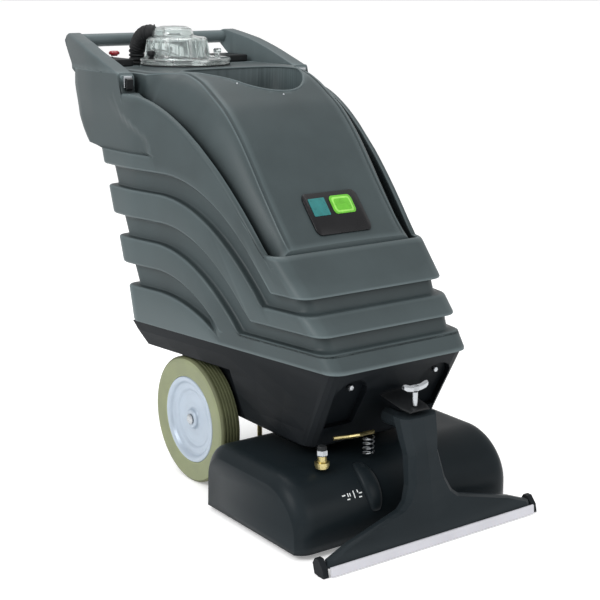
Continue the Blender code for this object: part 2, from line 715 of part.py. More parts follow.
def base_chassis(mat):
    levels = [0.150, 0.156, 0.185, 0.220, 0.255, 0.290, TANK_BOTTOM - GAP]
    insets = [0.006, 0.0, 0.0, 0.0, 0.0, 0.0, 0.0]
    shell = loft("base_chassis", [base_section(z, i) for z, i in zip(levels, insets)])
    hollow = box("bay_cutter", (-0.136, -0.318, 0.158), (0.136, 0.062, 0.400), 0.010)
    axle_hole = cylinder("axle_cutter", AXLE_R + GAP, -0.30, 0.30, (0, 0, 0.127), "X", 20)
    shell = cut(shell, [wheel_well(1), wheel_well(-1), front_pocket(1), front_pocket(-1), hollow])
    lugs = [box("axle_lug_right", (0.100, -0.022, 0.105), (0.147, 0.022, 0.156), 0.004),
            box("axle_lug_left", (-0.147, -0.022, 0.105), (-0.100, 0.022, 0.156), 0.004)]
    shell = cut(shell, lugs, "UNION")
    shell = cut(shell, [axle_hole])
    return finish(shell, mat)


def axle(mat):
    return finish(cylinder("axle", AXLE_R, -0.1935, 0.1935, (0, 0, WHEEL_R), "X", 24), mat)


def tyre(side, mat):
    """Solid tyre with grooves round its tread, on the rim's seat."""
    name = "tyre_right" if side > 0 else "tyre_left"
    outer = WHEEL_OUTER_X
    inner = WHEEL_OUTER_X - WHEEL_WIDTH
    profile = [(RIM_R + 0.0005, inner + 0.002), (WHEEL_R - 0.008, inner), (WHEEL_R, inner + 0.005)]
    grooves = 3
    pitch = (WHEEL_WIDTH - 0.014) / grooves
    for k in range(grooves):
        start = inner + 0.007 + pitch * (k + 0.5)
        profile += [(WHEEL_R, start - 0.0016), (WHEEL_R - 0.003, start), (WHEEL_R, start + 0.0016)]
    profile += [(WHEEL_R, outer - 0.005), (WHEEL_R - 0.008, outer), (RIM_R + 0.0005, outer - 0.003)]
    profile = [(r, side * x) for r, x in profile]
    body = turned(name, profile if side < 0 else profile[::-1], (0, 0, 0), "X", WHEEL_STEPS)
    finish(body, mat)
    body.location = (0, 0, WHEEL_R)
    return body


def rim(side, mat):
    """Pressed disc wheel: a bead, a dished web and a hub with a running bore."""
    name = "rim_right" if side > 0 else "rim_left"
    outer = WHEEL_OUTER_X
    bore = AXLE_R + 0.00006
    profile = [(bore, outer - 0.008), (0.019, outer - 0.008), (0.022, outer - 0.016), (0.030, outer - 0.019),
               (0.066, outer - 0.013), (0.078, outer - 0.004), (RIM_R - 0.0035, outer - 0.0015),
               (RIM_R, outer - 0.003), (RIM_R, outer - WHEEL_WIDTH + 0.002), (RIM_R - 0.004, outer - WHEEL_WIDTH + 0.002),
               (RIM_R - 0.004, outer - 0.012), (0.070, outer - 0.018), (0.030, outer - 0.024), (0.019, outer - 0.028),
               (0.019, outer - WHEEL_WIDTH + 0.0005), (bore, outer - WHEEL_WIDTH + 0.0005)]
    profile = [(r, side * x) for r, x in profile]
    body = turned(name, profile if side < 0 else profile[::-1], (0, 0, 0), "X", WHEEL_STEPS)
    finish(body, mat)
    body.location = (0, 0, WHEEL_R)
    return body


def axle_cap(side, mat):
    """Push-on cap that keeps the wheel on its axle."""
    name = "axle_cap_right" if side > 0 else "axle_cap_left"
    face = 0.1935 + GAP
    profile = [(0, 0.003), (0.007, 0.003), (0.0105, 0.0008), (0.0105, 0), (0, 0)]
    profile = [(r, side * (face + h)) for r, h in profile]
    return finish(turned(name, profile, (0, 0, WHEEL_R), "X", 20), mat)


def machinery(mats):
    """What the base bay holds: vacuum motor, pump, filter and the hose that joins shoe and riser."""
    floor = 0.158 + GAP
    fan = turned("vacuum_motor", [(0, 0.300), (0.030, 0.300), (0.040, 0.292), (0.042, 0.240), (0.066, 0.232), (0.068, 0.190),
                                  (0.060, floor), (0, floor)], (-0.045, -0.030, 0), steps=28)
    finish(fan, mats["grey"])
    pump = box("solution_pump", (0.040, -0.130, floor), (0.096, 0.010, 0.222), 0.006)
    finish(pump, mats["black"])
    hose = tube("solution_hose", smooth_path([(0.070, -0.1380, 0.190), (0.070, -0.165, 0.190), (0.060, -0.220, 0.186),
                                              (0.020, -0.270, 0.184), (-0.060, -0.300, 0.184)], 20), 0.006, 2)
    finish(hose, mats["grey"])
    duct = tube("shoe_duct", smooth_path([(0.0, -0.3060, 0.235), (0.0, -0.265, 0.240), (0.004, -0.215, 0.250),
                                          (0.010, -0.150, 0.262)], 16), 0.019, 3)
    finish(duct, mats["black"])


# ---------------------------------------------------------------- brush deck

def deck_profile(inset=0.0):
    """Side outline of the brush deck: quarter-round front, level top, sloping back."""
    outline = [(DECK_REAR - inset, 0.012), (DECK_REAR - inset - 0.002, 0.080), (DECK_REAR - inset - 0.016, 0.112),
               (DECK_REAR - inset - 0.044, DECK_HEIGHT - inset)]
    radius_y = 0.100 - inset
    radius_z = DECK_HEIGHT - 0.040 - inset
    for k in range(8):
        a = math.pi / 2 * k / 7
        outline.append((DECK_FRONT + 0.100 - radius_y * math.sin(a), 0.040 + radius_z * math.cos(a)))
    outline.append((DECK_FRONT + inset, 0.012))
    return outline


def deck_body(name, inset, low):
    """The deck's solid, with its ends drawn in over a few sections to round them."""
    centre_y = (DECK_FRONT + DECK_REAR) / 2
    ends = [(1.0, 0.78, 0.72), (0.992, 0.90, 0.86), (0.965, 0.965, 0.95), (0.915, 0.99, 0.985), (0.84, 1.0, 1.0)]
    half = DECK_HALF - inset
    rings = []
    stations = [(-s, a, b) for s, a, b in ends] + [(s, a, b) for s, a, b in ends[::-1]]
    for s, across, up in stations:
        ring = []
        for y, z in deck_profile(inset):
            z = max(z, low) if z > 0.013 else low
            ring.append((s * half, centre_y + (y - centre_y) * across, low + (z - low) * up))
        rings.append(ring)
    return loft(name, rings)


def brush_deck(mat):
    shell = deck_body("brush_deck", 0.0, 0.010)
    hollow = deck_body("deck_cutter", DECK_WALL, -0.020)
    shell = cut(shell, [hollow])
    cheeks = [box("cheek_right", (0.2270, -0.3800, 0.0200), (0.2445, -0.3100, 0.0930), 0.003),
              box("cheek_left", (-0.2445, -0.3800, 0.0200), (-0.2270, -0.3100, 0.0930), 0.003)]
    shell = cut(shell, cheeks, "UNION")
    shaft_hole = cylinder("shaft_cutter", 0.0063, -0.236, 0.236, (0, BRUSH_Y, BRUSH_Z), "X", 20)
    shell = cut(shell, [shaft_hole])
    return finish(shell, mat)


def brush_roller(mats):
    """The brush: a shaft, and a sleeve of bristles in ridges round it."""
    shaft = cylinder("brush_shaft", 0.0060, -0.2355, 0.2355, (0, 0, 0), "X", 20)
    finish(shaft, mats["steel"])
    shaft.location = (0, BRUSH_Y, BRUSH_Z)
    ring = []
    lobes = 14
    for k in range(lobes * 2):
        radius = BRUSH_R if k % 2 == 0 else BRUSH_R - 0.006
        a = math.tau * k / (lobes * 2)
        ring.append((radius * math.cos(a), radius * math.sin(a)))
    sections = []
    count = 5
    for s in range(count + 1):
        x = -0.205 + 0.410 * s / count
        twist = 0.9 * s / count
        c = math.cos(twist)
        d = math.sin(twist)
        sections.append([(x, y * c - z * d, y * d + z * c) for y, z in ring])
    sleeve = loft("brush_bristles", sections)
    sleeve = cut(sleeve, [cylinder("brush_bore", 0.0063, -0.21, 0.21, (0, 0, 0), "X", 20)])
    finish(sleeve, mats["blue"], 20)
    sleeve.location = (0, BRUSH_Y, BRUSH_Z)
    pulley = turned("brush_pulley", [(0.0063, -0.005), (0.0230, -0.005), (0.0230, 0.005), (0.0063, 0.005)], (0, 0, 0),
                    "X", 24)
    finish(pulley, mats["steel"])
    pulley.location = (0.2130, BRUSH_Y, BRUSH_Z)


def brush_drive(mats):
    """Motor behind the brush, its pulley, and the belt round both pulleys."""
    motor = cylinder("brush_motor", 0.036, 0.040, 0.195, (0, MOTOR_Y, MOTOR_Z), "X", 28)
    finish(motor, mats["steel"])
    pulley = turned("motor_pulley", [(0, -0.0165), (0.0050, -0.0165), (0.0050, -0.005), (0.0115, -0.005),
                                     (0.0115, 0.005), (0, 0.005)], (0, 0, 0), "X", 24)
    finish(pulley, mats["steel"])
    pulley.location = (0.2130, MOTOR_Y, MOTOR_Z)
    start = np.array([BRUSH_Y, BRUSH_Z])
    end = np.array([MOTOR_Y, MOTOR_Z])
    run = end - start
    length = float(np.hypot(*run))
    heading = math.atan2(run[1], run[0])
    lean = math.acos((0.0230 - 0.0115) / length)

    def loop(grow):
        points = []
        for centre, radius, first, last in ((end, 0.0115 + grow, heading - lean, heading + lean),
                                            (start, 0.0230 + grow, heading + lean, heading + math.tau - lean)):
            for k in range(11):
                a = first + (last - first) * k / 10
                points.append((centre[0] + radius * math.cos(a), centre[1] + radius * math.sin(a)))
        return points

    inner = loop(0.0004)
    outer = loop(0.0026)
    low = 0.2095
    high = 0.2165
    bm = bmesh.new()
    rings = [[bm.verts.new((x, y, z)) for y, z in pts]
             for x, pts in ((low, inner), (low, outer), (high, outer), (high, inner))]
    count = len(inner)
    for r in range(4):
        a = rings[r]
        b = rings[(r + 1) % 4]
        for i in range(count):
            j = (i + 1) % count
            bm.faces.new((a[i], a[j], b[j], b[i]))
    return finish(mesh_object("drive_belt", bm), mats["black"])


def deck_fittings(mats):
    """On the deck: the quick coupling for the solution line, the spray bar inside, and the height spring."""
    top = DECK_HEIGHT + GAP
    x = -0.152
    y = -0.384
    body = turned("coupling_body", [(0, 0.022), (0.0085, 0.022), (0.0085, 0.012), (0.0135, 0.011), (0.0135, 0.004),
                                    (0.0120, 0.003), (0.0120, 0), (0, 0)], (x, y, top), steps=20)
    finish(body, mats["brass"])
    nut = turned("coupling_nut", [(0, 0.033), (0.0100, 0.033), (0.0105, 0.0315), (0.0105, 0.0240), (0.0100, 0.0223), (0, 0.0223)],
                 (x, y, top), steps=6)
    finish(nut, mats["steel"])
    cap = turned("coupling_cap", [(0, 0.0405), (0.0070, 0.0405), (0.0085, 0.0385), (0.0085, 0.0333), (0, 0.0333)],
                 (x, y, top), steps=20)
    finish(cap, mats["black"])
    bar = cylinder("spray_bar", 0.006, -0.190, 0.190, (0, -0.4180, 0.072), "X", 16)
    jets = [turned(f"jet_{k}", [(0, 0), (0.0045, 0), (0.0045, -0.014), (0.0020, -0.018), (0, -0.018)],
                   (jet_x, -0.4180, 0.0680), steps=8) for k, jet_x in enumerate((-0.15, -0.05, 0.05, 0.15))]
    bar = cut(bar, jets, "UNION")
    finish(bar, mats["brass"])


def height_spring(mats):
    """Coil spring under the base's front edge, with the lever it works against."""
    turns = 4
    steps = 10
    low = DECK_HEIGHT + 0.0025
    high = 0.1720
    points = []
    for k in range(turns * steps + 1):
        a = math.tau * k / steps
        points.append((0.0105 * math.cos(a), 0.0105 * math.sin(a), low + (high - low) * k / (turns * steps)))
    coil = tube("height_spring", points, 0.0013, 1)
    finish(coil, mats["steel"])
    coil.location = (-0.048, -0.384, 0)
    lever = tube("height_lever", [(-0.118, -0.372, 0.1790), (-0.090, -0.380, 0.1790), (-0.070, -0.384, 0.1790),
                                  (-0.036, -0.384, 0.1790)], 0.0040, 2)
    finish(lever, mats["brass"])


# ---------------------------------------------------------------- vacuum shoe

def shoe_line(z):
    """The shoe's mid plane leans forward from its neck to the floor."""
    return -0.5135 + (z - 0.010) * 0.265


def vacuum_shoe(mat):
    """A flat hollow fan, wide at the floor and narrow at its neck, open along its bottom edge."""
    heights = [0.0140, 0.0260, 0.0420, 0.0720, 0.0850, 0.1100, 0.1600, 0.1900, 0.2250]
    halves = [0.2380, 0.2340, 0.1900, 0.0700, 0.0540, 0.0420, 0.0340, 0.0380, 0.0410]
    depths = [0.0085, 0.0090, 0.0095, 0.0110, 0.0120, 0.0140, 0.0170, 0.0190, 0.0200]

    def ring(z, half, depth, shrink):
        y = shoe_line(z)
        width = half - shrink
        deep = depth - shrink
        soft = min(0.010, width * 0.3)
        return [(-width, y - deep * 0.3, z), (-width + soft, y - deep, z), (0, y - deep * 1.12, z),
                (width - soft, y - deep, z), (width, y - deep * 0.3, z), (width, y + deep * 0.6, z),
                (width - soft, y + deep, z), (0, y + deep, z), (-width + soft, y + deep, z), (-width, y + deep * 0.6, z)]

    shell = loft("vacuum_shoe", [ring(z, h, d, 0.0) for z, h, d in zip(heights, halves, depths)])
    inner_heights = [0.005] + heights[1:-2] + [0.2150]
    inner_halves = [0.2360] + halves[1:-2] + [0.0400]
    inner_depths = [0.0085] + depths[1:-2] + [0.0195]
    hollow = loft("shoe_cutter", [ring(z, h, d, 0.0035) for z, h, d in zip(inner_heights, inner_halves, inner_depths)])
    shell = cut(shell, [hollow])
    port = tube("shoe_port", [(0, shoe_line(0.205) + 0.012, 0.2030), (0, -0.3800, 0.2030)], 0.0165, 3)
    shell = cut(shell, [port], "UNION")
    return finish(shell, mat)


def shoe_blade(mat):
    """The pale strip along the shoe's lower front edge."""
    y = shoe_line(0.008) - 0.0085 - 0.0032
    ring = [(y - 0.0015, 0.0020), (y + 0.0012, 0.0020), (y + 0.0034, 0.0185), (y + 0.0002, 0.0185)]
    return finish(loft("shoe_blade", [[(x, py, pz) for py, pz in ring] for x in (-0.2370, 0.2370)]), mat)


def shoe_end(side, mat):
    """Block that closes each end of the shoe and slides on the carpet."""
    name = "shoe_end_right" if side > 0 else "shoe_end_left"
    low = side * (0.2380 + GAP)
    high = side * SHOE_HALF
    outline = [(-0.5215, 0.0005), (-0.5090, 0.0), (-0.4950, 0.0020), (-0.4900, 0.0200), (-0.4960, 0.0300), (-0.5060, 0.0300),
               (-0.5180, 0.0160)]
    return finish(loft(name, [[(x, y, z) for y, z in outline] for x in (low, high)]), mat)


def wing_knob(mat):
    """The cast wing knob on its threaded stem, above the shoe's neck."""
    stem = turned("wing_stem", [(0, 0.0300), (0.0065, 0.0300), (0.0080, 0.0220), (0.0050, 0.0180), (0.0045, -0.0070), (0, -0.0070)],
                  (0, 0, 0), steps=16)
    wings = []
    for side in (-1, 1):
        name = "wing_right" if side > 0 else "wing_left"
        section = [(-0.0042, 0.0200), (0.0042, 0.0200), (0.0048, 0.0270), (0.0, 0.0310), (-0.0048, 0.0270)]
        rings = []
        for x, scale, lift in ((0.0, 1.0, 0.0), (0.012, 0.95, 0.001), (0.022, 1.05, 0.004), (0.0275, 0.75, 0.006)):
            rings.append([(side * x, y * scale, 0.0250 + (z - 0.0250) * scale + lift) for y, z in section])
        wings.append(loft(name, rings))
    knob = cut(stem, wings, "UNION")
    knob.name = "wing_knob"
    finish(knob, mat)
    knob.location = (0, -0.4545, 0.2475)
    return knob


def hardware(mats):
    """Bolts in the front pockets, the lift link under the base and the bracket that carries the shoe."""
    for side, name in ((-1, "pocket_bolt_left"), (1, "pocket_bolt_right")):
        bolt = turned(name, [(0, 0.0075), (0.0045, 0.0070), (0.0062, 0.0045), (0.0062, 0), (0, 0)], (0, 0, 0),
                      "Y", steps=6)
        bm = bmesh.new()
        bm.from_mesh(bolt.data)
        bm.transform(Matrix.Translation((side * 0.098, base_front_y(0.2834) + POCKET_DEPTH - GAP, 0.2760)) @ Matrix.Rotation(math.pi, 4, "Z"))
        bpy.data.objects.remove(bolt, do_unlink=True)
        finish(mesh_object(name, bm), mats["steel"])
    bracket = loft("shoe_bracket", [[(x, y, z) for y, z in ((-0.3900, 0.2520), (-0.4700, 0.2360), (-0.4700, 0.2310),
                                                            (-0.3870, 0.2440))] for x in (-0.030, 0.030)])
    finish(bracket, mats["black"])
    link = tube("lift_link", [(-0.100, -0.108, LINK_TOP), (-0.100, -0.108, 0.096), (-0.100, -0.113, 0.087),
                              (-0.100, -0.122, 0.083), (-0.100, DECK_REAR + GAP + 0.0002, 0.083)], 0.0050, 2)
    finish(link, mats["brass"])


# ---------------------------------------------------------------- assembly

def build():
    mats = {
        "slate": material("moulded_tank", SLATE, 0.45),
        "base": material("black_base", BLACK, 0.42),
        "deck": material("graphite_deck", GRAPHITE, 0.40),
        "black": material("black_plastic", BLACK, 0.50),
        "rubber": material("black_rubber", (0.010, 0.011, 0.012, 1), 0.75),
        "clear": material("clear_plastic", (0.80, 0.86, 0.86, 1), 0.10),
        "steel": material("zinc_steel", STEEL, 0.32, 1.0),
        "brass": material("brass", BRASS, 0.30, 1.0),
        "tyre": material("tyre", (0.28, 0.31, 0.20, 1), 0.70),
        "rim": material("rim", (0.56, 0.62, 0.68, 1), 0.35, 0.6),
        "red": material("red_button", (0.30, 0.015, 0.02, 1), 0.35),
        "blue": material("bristles", (0.03, 0.05, 0.12, 1), 0.80),
        "grey": material("grey_hose", (0.25, 0.27, 0.28, 1), 0.50),
        "white": material("shoe_blade", (0.75, 0.75, 0.78, 1), 0.45),
        "label": material("label", (0.01, 0.01, 0.012, 1), 0.30),
    }
    solution_tank(mats["slate"])
    recovery_tank(mats["slate"])
    dome_lid(mats["clear"])
    dome_gasket(mats["rubber"])
    for name, angle in (("lid_knob_right", 5), ("lid_knob_rear", 85), ("lid_knob_left", 183)):
        lid_knob(name, math.radians(angle), mats["black"])
    vacuum_hose(mats["rubber"])
    label_plate(mats["label"])
    fill_strainer(mats["black"])
    standpipe(mats["grey"])
    float_rod(mats["steel"])
    shutoff_float(mats["red"])
    grip_bar(mats["slate"])
    console(mats["black"])
    console_cover(mats["black"])
    cable_gland(mats["rubber"])
    red_button(mats["red"])
    rocker("switch_vacuum", 0.370, mats["black"])
    rocker("switch_brush", 0.395, mats["black"])
    rocker("switch_pump", 0.420, mats["black"])
    latch(-1, mats)
    latch(1, mats)
    base_chassis(mats["base"])
    axle(mats["steel"])
    for side in (-1, 1):
        tyre(side, mats["tyre"])
        rim(side, mats["rim"])
        axle_cap(side, mats["steel"])
    machinery(mats)
    brush_deck(mats["deck"])
    brush_roller(mats)
    brush_drive(mats)
    deck_fittings(mats)
    height_spring(mats)
    vacuum_shoe(mats["deck"])
    shoe_blade(mats["white"])
    shoe_end(-1, mats["base"])
    shoe_end(1, mats["base"])
    wing_knob(mats["steel"])
    hardware(mats)


clear_scene()
PARTS = new_collection("carpet_extractor")
CUTTERS = new_collection("cutters")
MACHINE = bpy.data.objects.new("machine_axle", None)
MACHINE.location = (0, AXLE_Y, 0)
PARTS.objects.link(MACHINE)
build()
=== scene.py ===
"""Looks of the walk-behind carpet extractor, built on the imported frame."""

import math

import bmesh
import bpy
import numpy as np
from mathutils import Matrix, Vector


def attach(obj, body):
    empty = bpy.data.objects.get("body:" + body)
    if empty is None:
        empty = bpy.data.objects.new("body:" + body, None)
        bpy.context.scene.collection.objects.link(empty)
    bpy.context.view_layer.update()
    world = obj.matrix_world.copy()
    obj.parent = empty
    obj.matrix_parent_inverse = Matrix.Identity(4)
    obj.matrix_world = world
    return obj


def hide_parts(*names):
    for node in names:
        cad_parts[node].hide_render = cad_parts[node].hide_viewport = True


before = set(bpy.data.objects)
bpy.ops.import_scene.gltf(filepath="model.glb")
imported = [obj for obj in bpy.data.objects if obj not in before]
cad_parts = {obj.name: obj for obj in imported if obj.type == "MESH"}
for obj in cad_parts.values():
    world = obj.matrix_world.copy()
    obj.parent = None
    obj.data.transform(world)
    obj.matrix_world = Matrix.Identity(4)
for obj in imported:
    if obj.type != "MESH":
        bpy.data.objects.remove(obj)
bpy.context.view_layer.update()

# The shapes below are laid out about the wheel axle, which lies this far behind the row's origin.
AXLE_Y = 0.03035

# Tank
TANK_BOTTOM = 0.310
TANK_TOP = 0.795
FLARE_X0 = 0.2261
FLARE = 0.165
FLARE_END_Y = 0.15
DRAFT = 0.045
CORNER_R = 0.030
REAR_CORNER_R = 0.022
REAR_CORNER_SPREAD = 0.044
RECESS = 0.015
PANEL_DEPTH = 0.0050
ARM_INNER_X = 0.1955
ARM_FRONT_Y = 0.186
ARM_THICKNESS = 0.0335
ARM_EDGE = 0.0045
GRIP_END_Y = 0.4665
NEST_FRONT = -0.264
NEST_REAR = 0.326
NEST_STEP = 0.018
NEST_GAP = 0.0038
HEEL_DROP = 0.026
CREASE_X = 0.131
DECK_TOP = 0.797
BOSS_BOTTOM = 0.732
RISER_FLOOR = 0.7775
CUT_TOP = 0.85
WELL_FLOOR = 0.690
WELL_CUT_TOP = 0.860
DOME = Vector((-0.006, 0.306, 0.8003))
DOME_FLANGE_R = 0.096
DOME_HOLE_R = 0.058
HOSE_X = -0.066
HOSE_Y = 0.408
HOSE_R = 0.018
RIB_PITCH = 0.0080
RIB_DEPTH = 0.0036
SPIGOT_Z = 0.8640
SPIGOT_R = 0.0125
SPIGOT_WAY = (-0.7493, 0.6622)
GRIP_Y = 0.4525
GRIP_Z = 0.8465
GRIP_R = 0.0138

# Wheels
WHEEL_R = 0.127
WHEEL_WIDTH = 0.045
WHEEL_OUTER_X = 0.199
RIM_R = 0.0867
TREAD_DEPTH = 0.0042

# Deck and shoe
DECK_HALF = 0.2477
DECK_FRONT = -0.448
DECK_REAR = -0.136
DECK_HEIGHT = 0.135
DECK_LOW = 0.010
DECK_WALL = 0.0050
NOSE_DEPTH = 0.100
NOSE_Z = 0.040
NOSE_RISE = 0.095
BACK_LEAN = 0.003
BACK_ROUND = 0.050
BACK_Z = 0.082
END_START = 0.86
END_DRAW_IN = 0.10
END_DROP = 0.17

# Studio
CAMERA_LENS = 80.08
CAMERA_PLACE = (-1.478, -2.173 + AXLE_Y, 0.985)
CAMERA_TILT = 76.26
CAMERA_TURN = -35.54
FLOOR_HALF = 200
FLOOR_DROP = 0.0005


# ---------------------------------------------------------------- materials

def new_material(name):
    mat = bpy.data.materials.new(name)
    mat.use_nodes = True
    tree = mat.node_tree
    return mat, tree, tree.nodes["Principled BSDF"]


def noise(tree, coords, scale, detail=4.0, roughness=0.55, stretch=None):
    node = tree.nodes.new("ShaderNodeTexNoise")
    node.inputs["Scale"].default_value = scale
    node.inputs["Detail"].default_value = detail
    node.inputs["Roughness"].default_value = roughness
    source = coords.outputs["Object"]
    if stretch:
        mapping = tree.nodes.new("ShaderNodeMapping")
        mapping.inputs["Scale"].default_value = stretch
        tree.links.new(source, mapping.inputs["Vector"])
        source = mapping.outputs["Vector"]
    tree.links.new(source, node.inputs["Vector"])
    return node


def map_range(tree, value, low, high, to_low, to_high):
    node = tree.nodes.new("ShaderNodeMapRange")
    for socket, number in (("From Min", low), ("From Max", high), ("To Min", to_low), ("To Max", to_high)):
        node.inputs[socket].default_value = number
    tree.links.new(value, node.inputs["Value"])
    return node.outputs["Result"]


def mix_colour(tree, factor, first, second):
    node = tree.nodes.new("ShaderNodeMix")
    node.data_type = "RGBA"
    tree.links.new(factor, node.inputs["Factor"])
    for index, colour in ((6, first), (7, second)):
        if hasattr(colour, "links"):
            tree.links.new(colour, node.inputs[index])
        else:
            node.inputs[index].default_value = (*colour, 1)
    return node.outputs[2]


def surface(name, colour, rough, metallic=0.0, grain=(900, 0.05), mottle=(14, 0.12), stretch=None, edges=0.0,
            rough_swing=0.06, specular=0.5, distance=0.0004, hollow_shade=0.0):
    """A moulded, cast or plated surface: fine grain, slow colour drift, uneven gloss, painted edge highlights
    and painted shade in hollows.
    """
    mat, tree, shader = new_material(name)
    coords = tree.nodes.new("ShaderNodeTexCoord")
    slow = noise(tree, coords, mottle[0], stretch=stretch)
    fine = noise(tree, coords, grain[0], detail=3.0, stretch=stretch)
    dark = [c * (1 - mottle[1]) for c in colour]
    pale = [min(1.0, c * (1 + mottle[1])) for c in colour]
    drift = map_range(tree, slow.outputs["Fac"], 0.30, 0.70, 0, 1)
    paint = mix_colour(tree, drift, dark, pale)
    speck = map_range(tree, fine.outputs["Fac"], 0.35, 0.75, 0, 0.35 * mottle[1] * 3)
    paint = mix_colour(tree, speck, paint, [min(1.0, c * 1.5) for c in colour])
    # Painted shade: ambient occlusion blends the colour towards a dark copy of itself in recesses and
    # hollows.
    if hollow_shade:
        shade = tree.nodes.new("ShaderNodeAmbientOcclusion")
        shade.inputs["Distance"].default_value = 0.060
        shade.samples = 8
        hollow_shade_mask = map_range(tree, shade.outputs["AO"], 0.20, 0.85, hollow_shade, 0)
        paint = mix_colour(tree, hollow_shade_mask, paint, [c * 0.25 for c in colour])
    # Painted highlight: convex edges, found by pointiness, are painted much paler.
    if edges:
        geometry = tree.nodes.new("ShaderNodeNewGeometry")
        edge = map_range(tree, geometry.outputs["Pointiness"], 0.506, 0.555, 0, edges)
        paint = mix_colour(tree, edge, paint, [min(1.0, c * 2.2 + 0.02) for c in colour])
    tree.links.new(paint, shader.inputs["Base Color"])
    tree.links.new(map_range(tree, slow.outputs["Fac"], 0.3, 0.7, rough - rough_swing, rough + rough_swing),
                   shader.inputs["Roughness"])
    shader.inputs["Metallic"].default_value = metallic
    shader.inputs["Specular IOR Level"].default_value = specular
    bump = tree.nodes.new("ShaderNodeBump")
    bump.inputs["Strength"].default_value = grain[1]
    bump.inputs["Distance"].default_value = distance
    tree.links.new(fine.outputs["Fac"], bump.inputs["Height"])
    tree.links.new(bump.outputs["Normal"], shader.inputs["Normal"])
    return mat


def clear_plastic(name):
    """Clear polycarbonate with faint moulding waves."""
    mat, tree, shader = new_material(name)
    coords = tree.nodes.new("ShaderNodeTexCoord")
    wave = noise(tree, coords, 60, detail=2.0)
    shader.inputs["Transmission Weight"].default_value = 0.92
    shader.inputs["IOR"].default_value = 1.50
    tree.links.new(mix_colour(tree, wave.outputs["Fac"], (0.78, 0.85, 0.84), (0.90, 0.94, 0.93)),
                   shader.inputs["Base Color"])
    tree.links.new(map_range(tree, wave.outputs["Fac"], 0.3, 0.7, 0.04, 0.14), shader.inputs["Roughness"])
    bump = tree.nodes.new("ShaderNodeBump")
    bump.inputs["Strength"].default_value = 0.15
    bump.inputs["Distance"].default_value = 0.0006
    tree.links.new(wave.outputs["Fac"], bump.inputs["Height"])
    tree.links.new(bump.outputs["Normal"], shader.inputs["Normal"])
    return mat


# Looks given an edge strength get painted highlights on their convex edges; the tank and deck also get
# painted shade in their recesses.
MATS = {
    "tank": surface("tank_plastic", (0.041, 0.055, 0.058), 0.42, grain=(1400, 0.16), mottle=(9, 0.12),
                    edges=0.9, specular=0.22, hollow_shade=1.0),
    "base": surface("base_plastic", (0.0050, 0.0065, 0.0080), 0.40, grain=(1200, 0.12), mottle=(12, 0.15),
                    edges=0.25, specular=0.06),
    "deck": surface("deck_plastic", (0.0080, 0.0120, 0.0145), 0.36, grain=(1500, 0.10), mottle=(8, 0.12),
                    edges=0.30, specular=0.09, hollow_shade=0.6),
    "black": surface("black_plastic", (0.010, 0.011, 0.012), 0.40, grain=(1600, 0.10), mottle=(20, 0.15),
                     edges=0.2, specular=0.14),
    "rubber": surface("black_rubber", (0.012, 0.013, 0.014), 0.62, grain=(1100, 0.20), mottle=(30, 0.18),
                      specular=0.25),
    "steel": surface("zinc_steel", (0.44, 0.46, 0.48), 0.30, 1.0, grain=(700, 0.10), mottle=(60, 0.08),
                     stretch=(1, 1, 6), rough_swing=0.10),
    "brass": surface("brass", (0.52, 0.44, 0.21), 0.32, 1.0, grain=(800, 0.10), mottle=(70, 0.15),
                     rough_swing=0.08),
    "tyre": surface("tyre_rubber", (0.190, 0.210, 0.115), 0.62, grain=(900, 0.20),
                    mottle=(25, 0.10), edges=0.3),
    "tread": surface("tread_rubber", (0.090, 0.098, 0.045), 0.66, grain=(900, 0.22), mottle=(25, 0.14)),
    "rim": surface("rim_paint", (0.36, 0.42, 0.49), 0.34, 0.25, grain=(500, 0.05), mottle=(16, 0.06)),
    "red": surface("red_plastic", (0.28, 0.012, 0.020), 0.28, grain=(1500, 0.05), mottle=(40, 0.10)),
    "bristle": surface("bristles", (0.020, 0.030, 0.070), 0.70, grain=(1800, 0.9), mottle=(300, 0.5),
                       stretch=(6, 1, 1), distance=0.002),
    "grey": surface("grey_plastic", (0.20, 0.22, 0.23), 0.45, grain=(1400, 0.10), mottle=(20, 0.08)),
    "white": surface("blade_plastic", (0.52, 0.52, 0.56), 0.42, grain=(1200, 0.10), mottle=(12, 0.05)),
    "label": surface("badge_black", (0.006, 0.006, 0.007), 0.30, grain=(2000, 0.03), mottle=(25, 0.10),
                     specular=0.25),
    "teal": surface("badge_teal", (0.012, 0.150, 0.150), 0.30, grain=(2000, 0.03), mottle=(80, 0.12)),
    "green": surface("badge_green", (0.105, 0.400, 0.020), 0.30, grain=(2000, 0.03), mottle=(80, 0.12)),
    "pale_green": surface("badge_pale", (0.260, 0.620, 0.100), 0.30, grain=(2000, 0.03), mottle=(80, 0.12)),
    "print": surface("white_print", (0.75, 0.78, 0.78), 0.45, grain=(2000, 0.03), mottle=(200, 0.10)),
    "clear": clear_plastic("clear_polycarbonate"),
}


# ---------------------------------------------------------------- mesh helpers

def piece(name, bm, mat, body, replaces=(), angle=38.0, merge=0.00001):
    """Turn a bmesh laid out about the axle into a shaded piece that rides on a body."""
    bmesh.ops.remove_doubles(bm, verts=bm.verts, dist=merge)
    bmesh.ops.dissolve_degenerate(bm, edges=bm.edges, dist=merge)
    bmesh.ops.recalc_face_normals(bm, faces=bm.faces)
    bm.transform(Matrix.Translation((0, AXLE_Y, 0)))
    mesh = bpy.data.meshes.new(name)
    bm.to_mesh(mesh)
    bm.free()
    obj = bpy.data.objects.new(name, mesh)
    bpy.context.scene.collection.objects.link(obj)
    for one in (mat if isinstance(mat, (list, tuple)) else [mat]):
        mesh.materials.append(MATS[one])
    mesh.shade_smooth()
    mesh.set_sharp_from_angle(angle=math.radians(angle))
    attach(obj, body)
    if replaces:
        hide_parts(*replaces)
    return obj


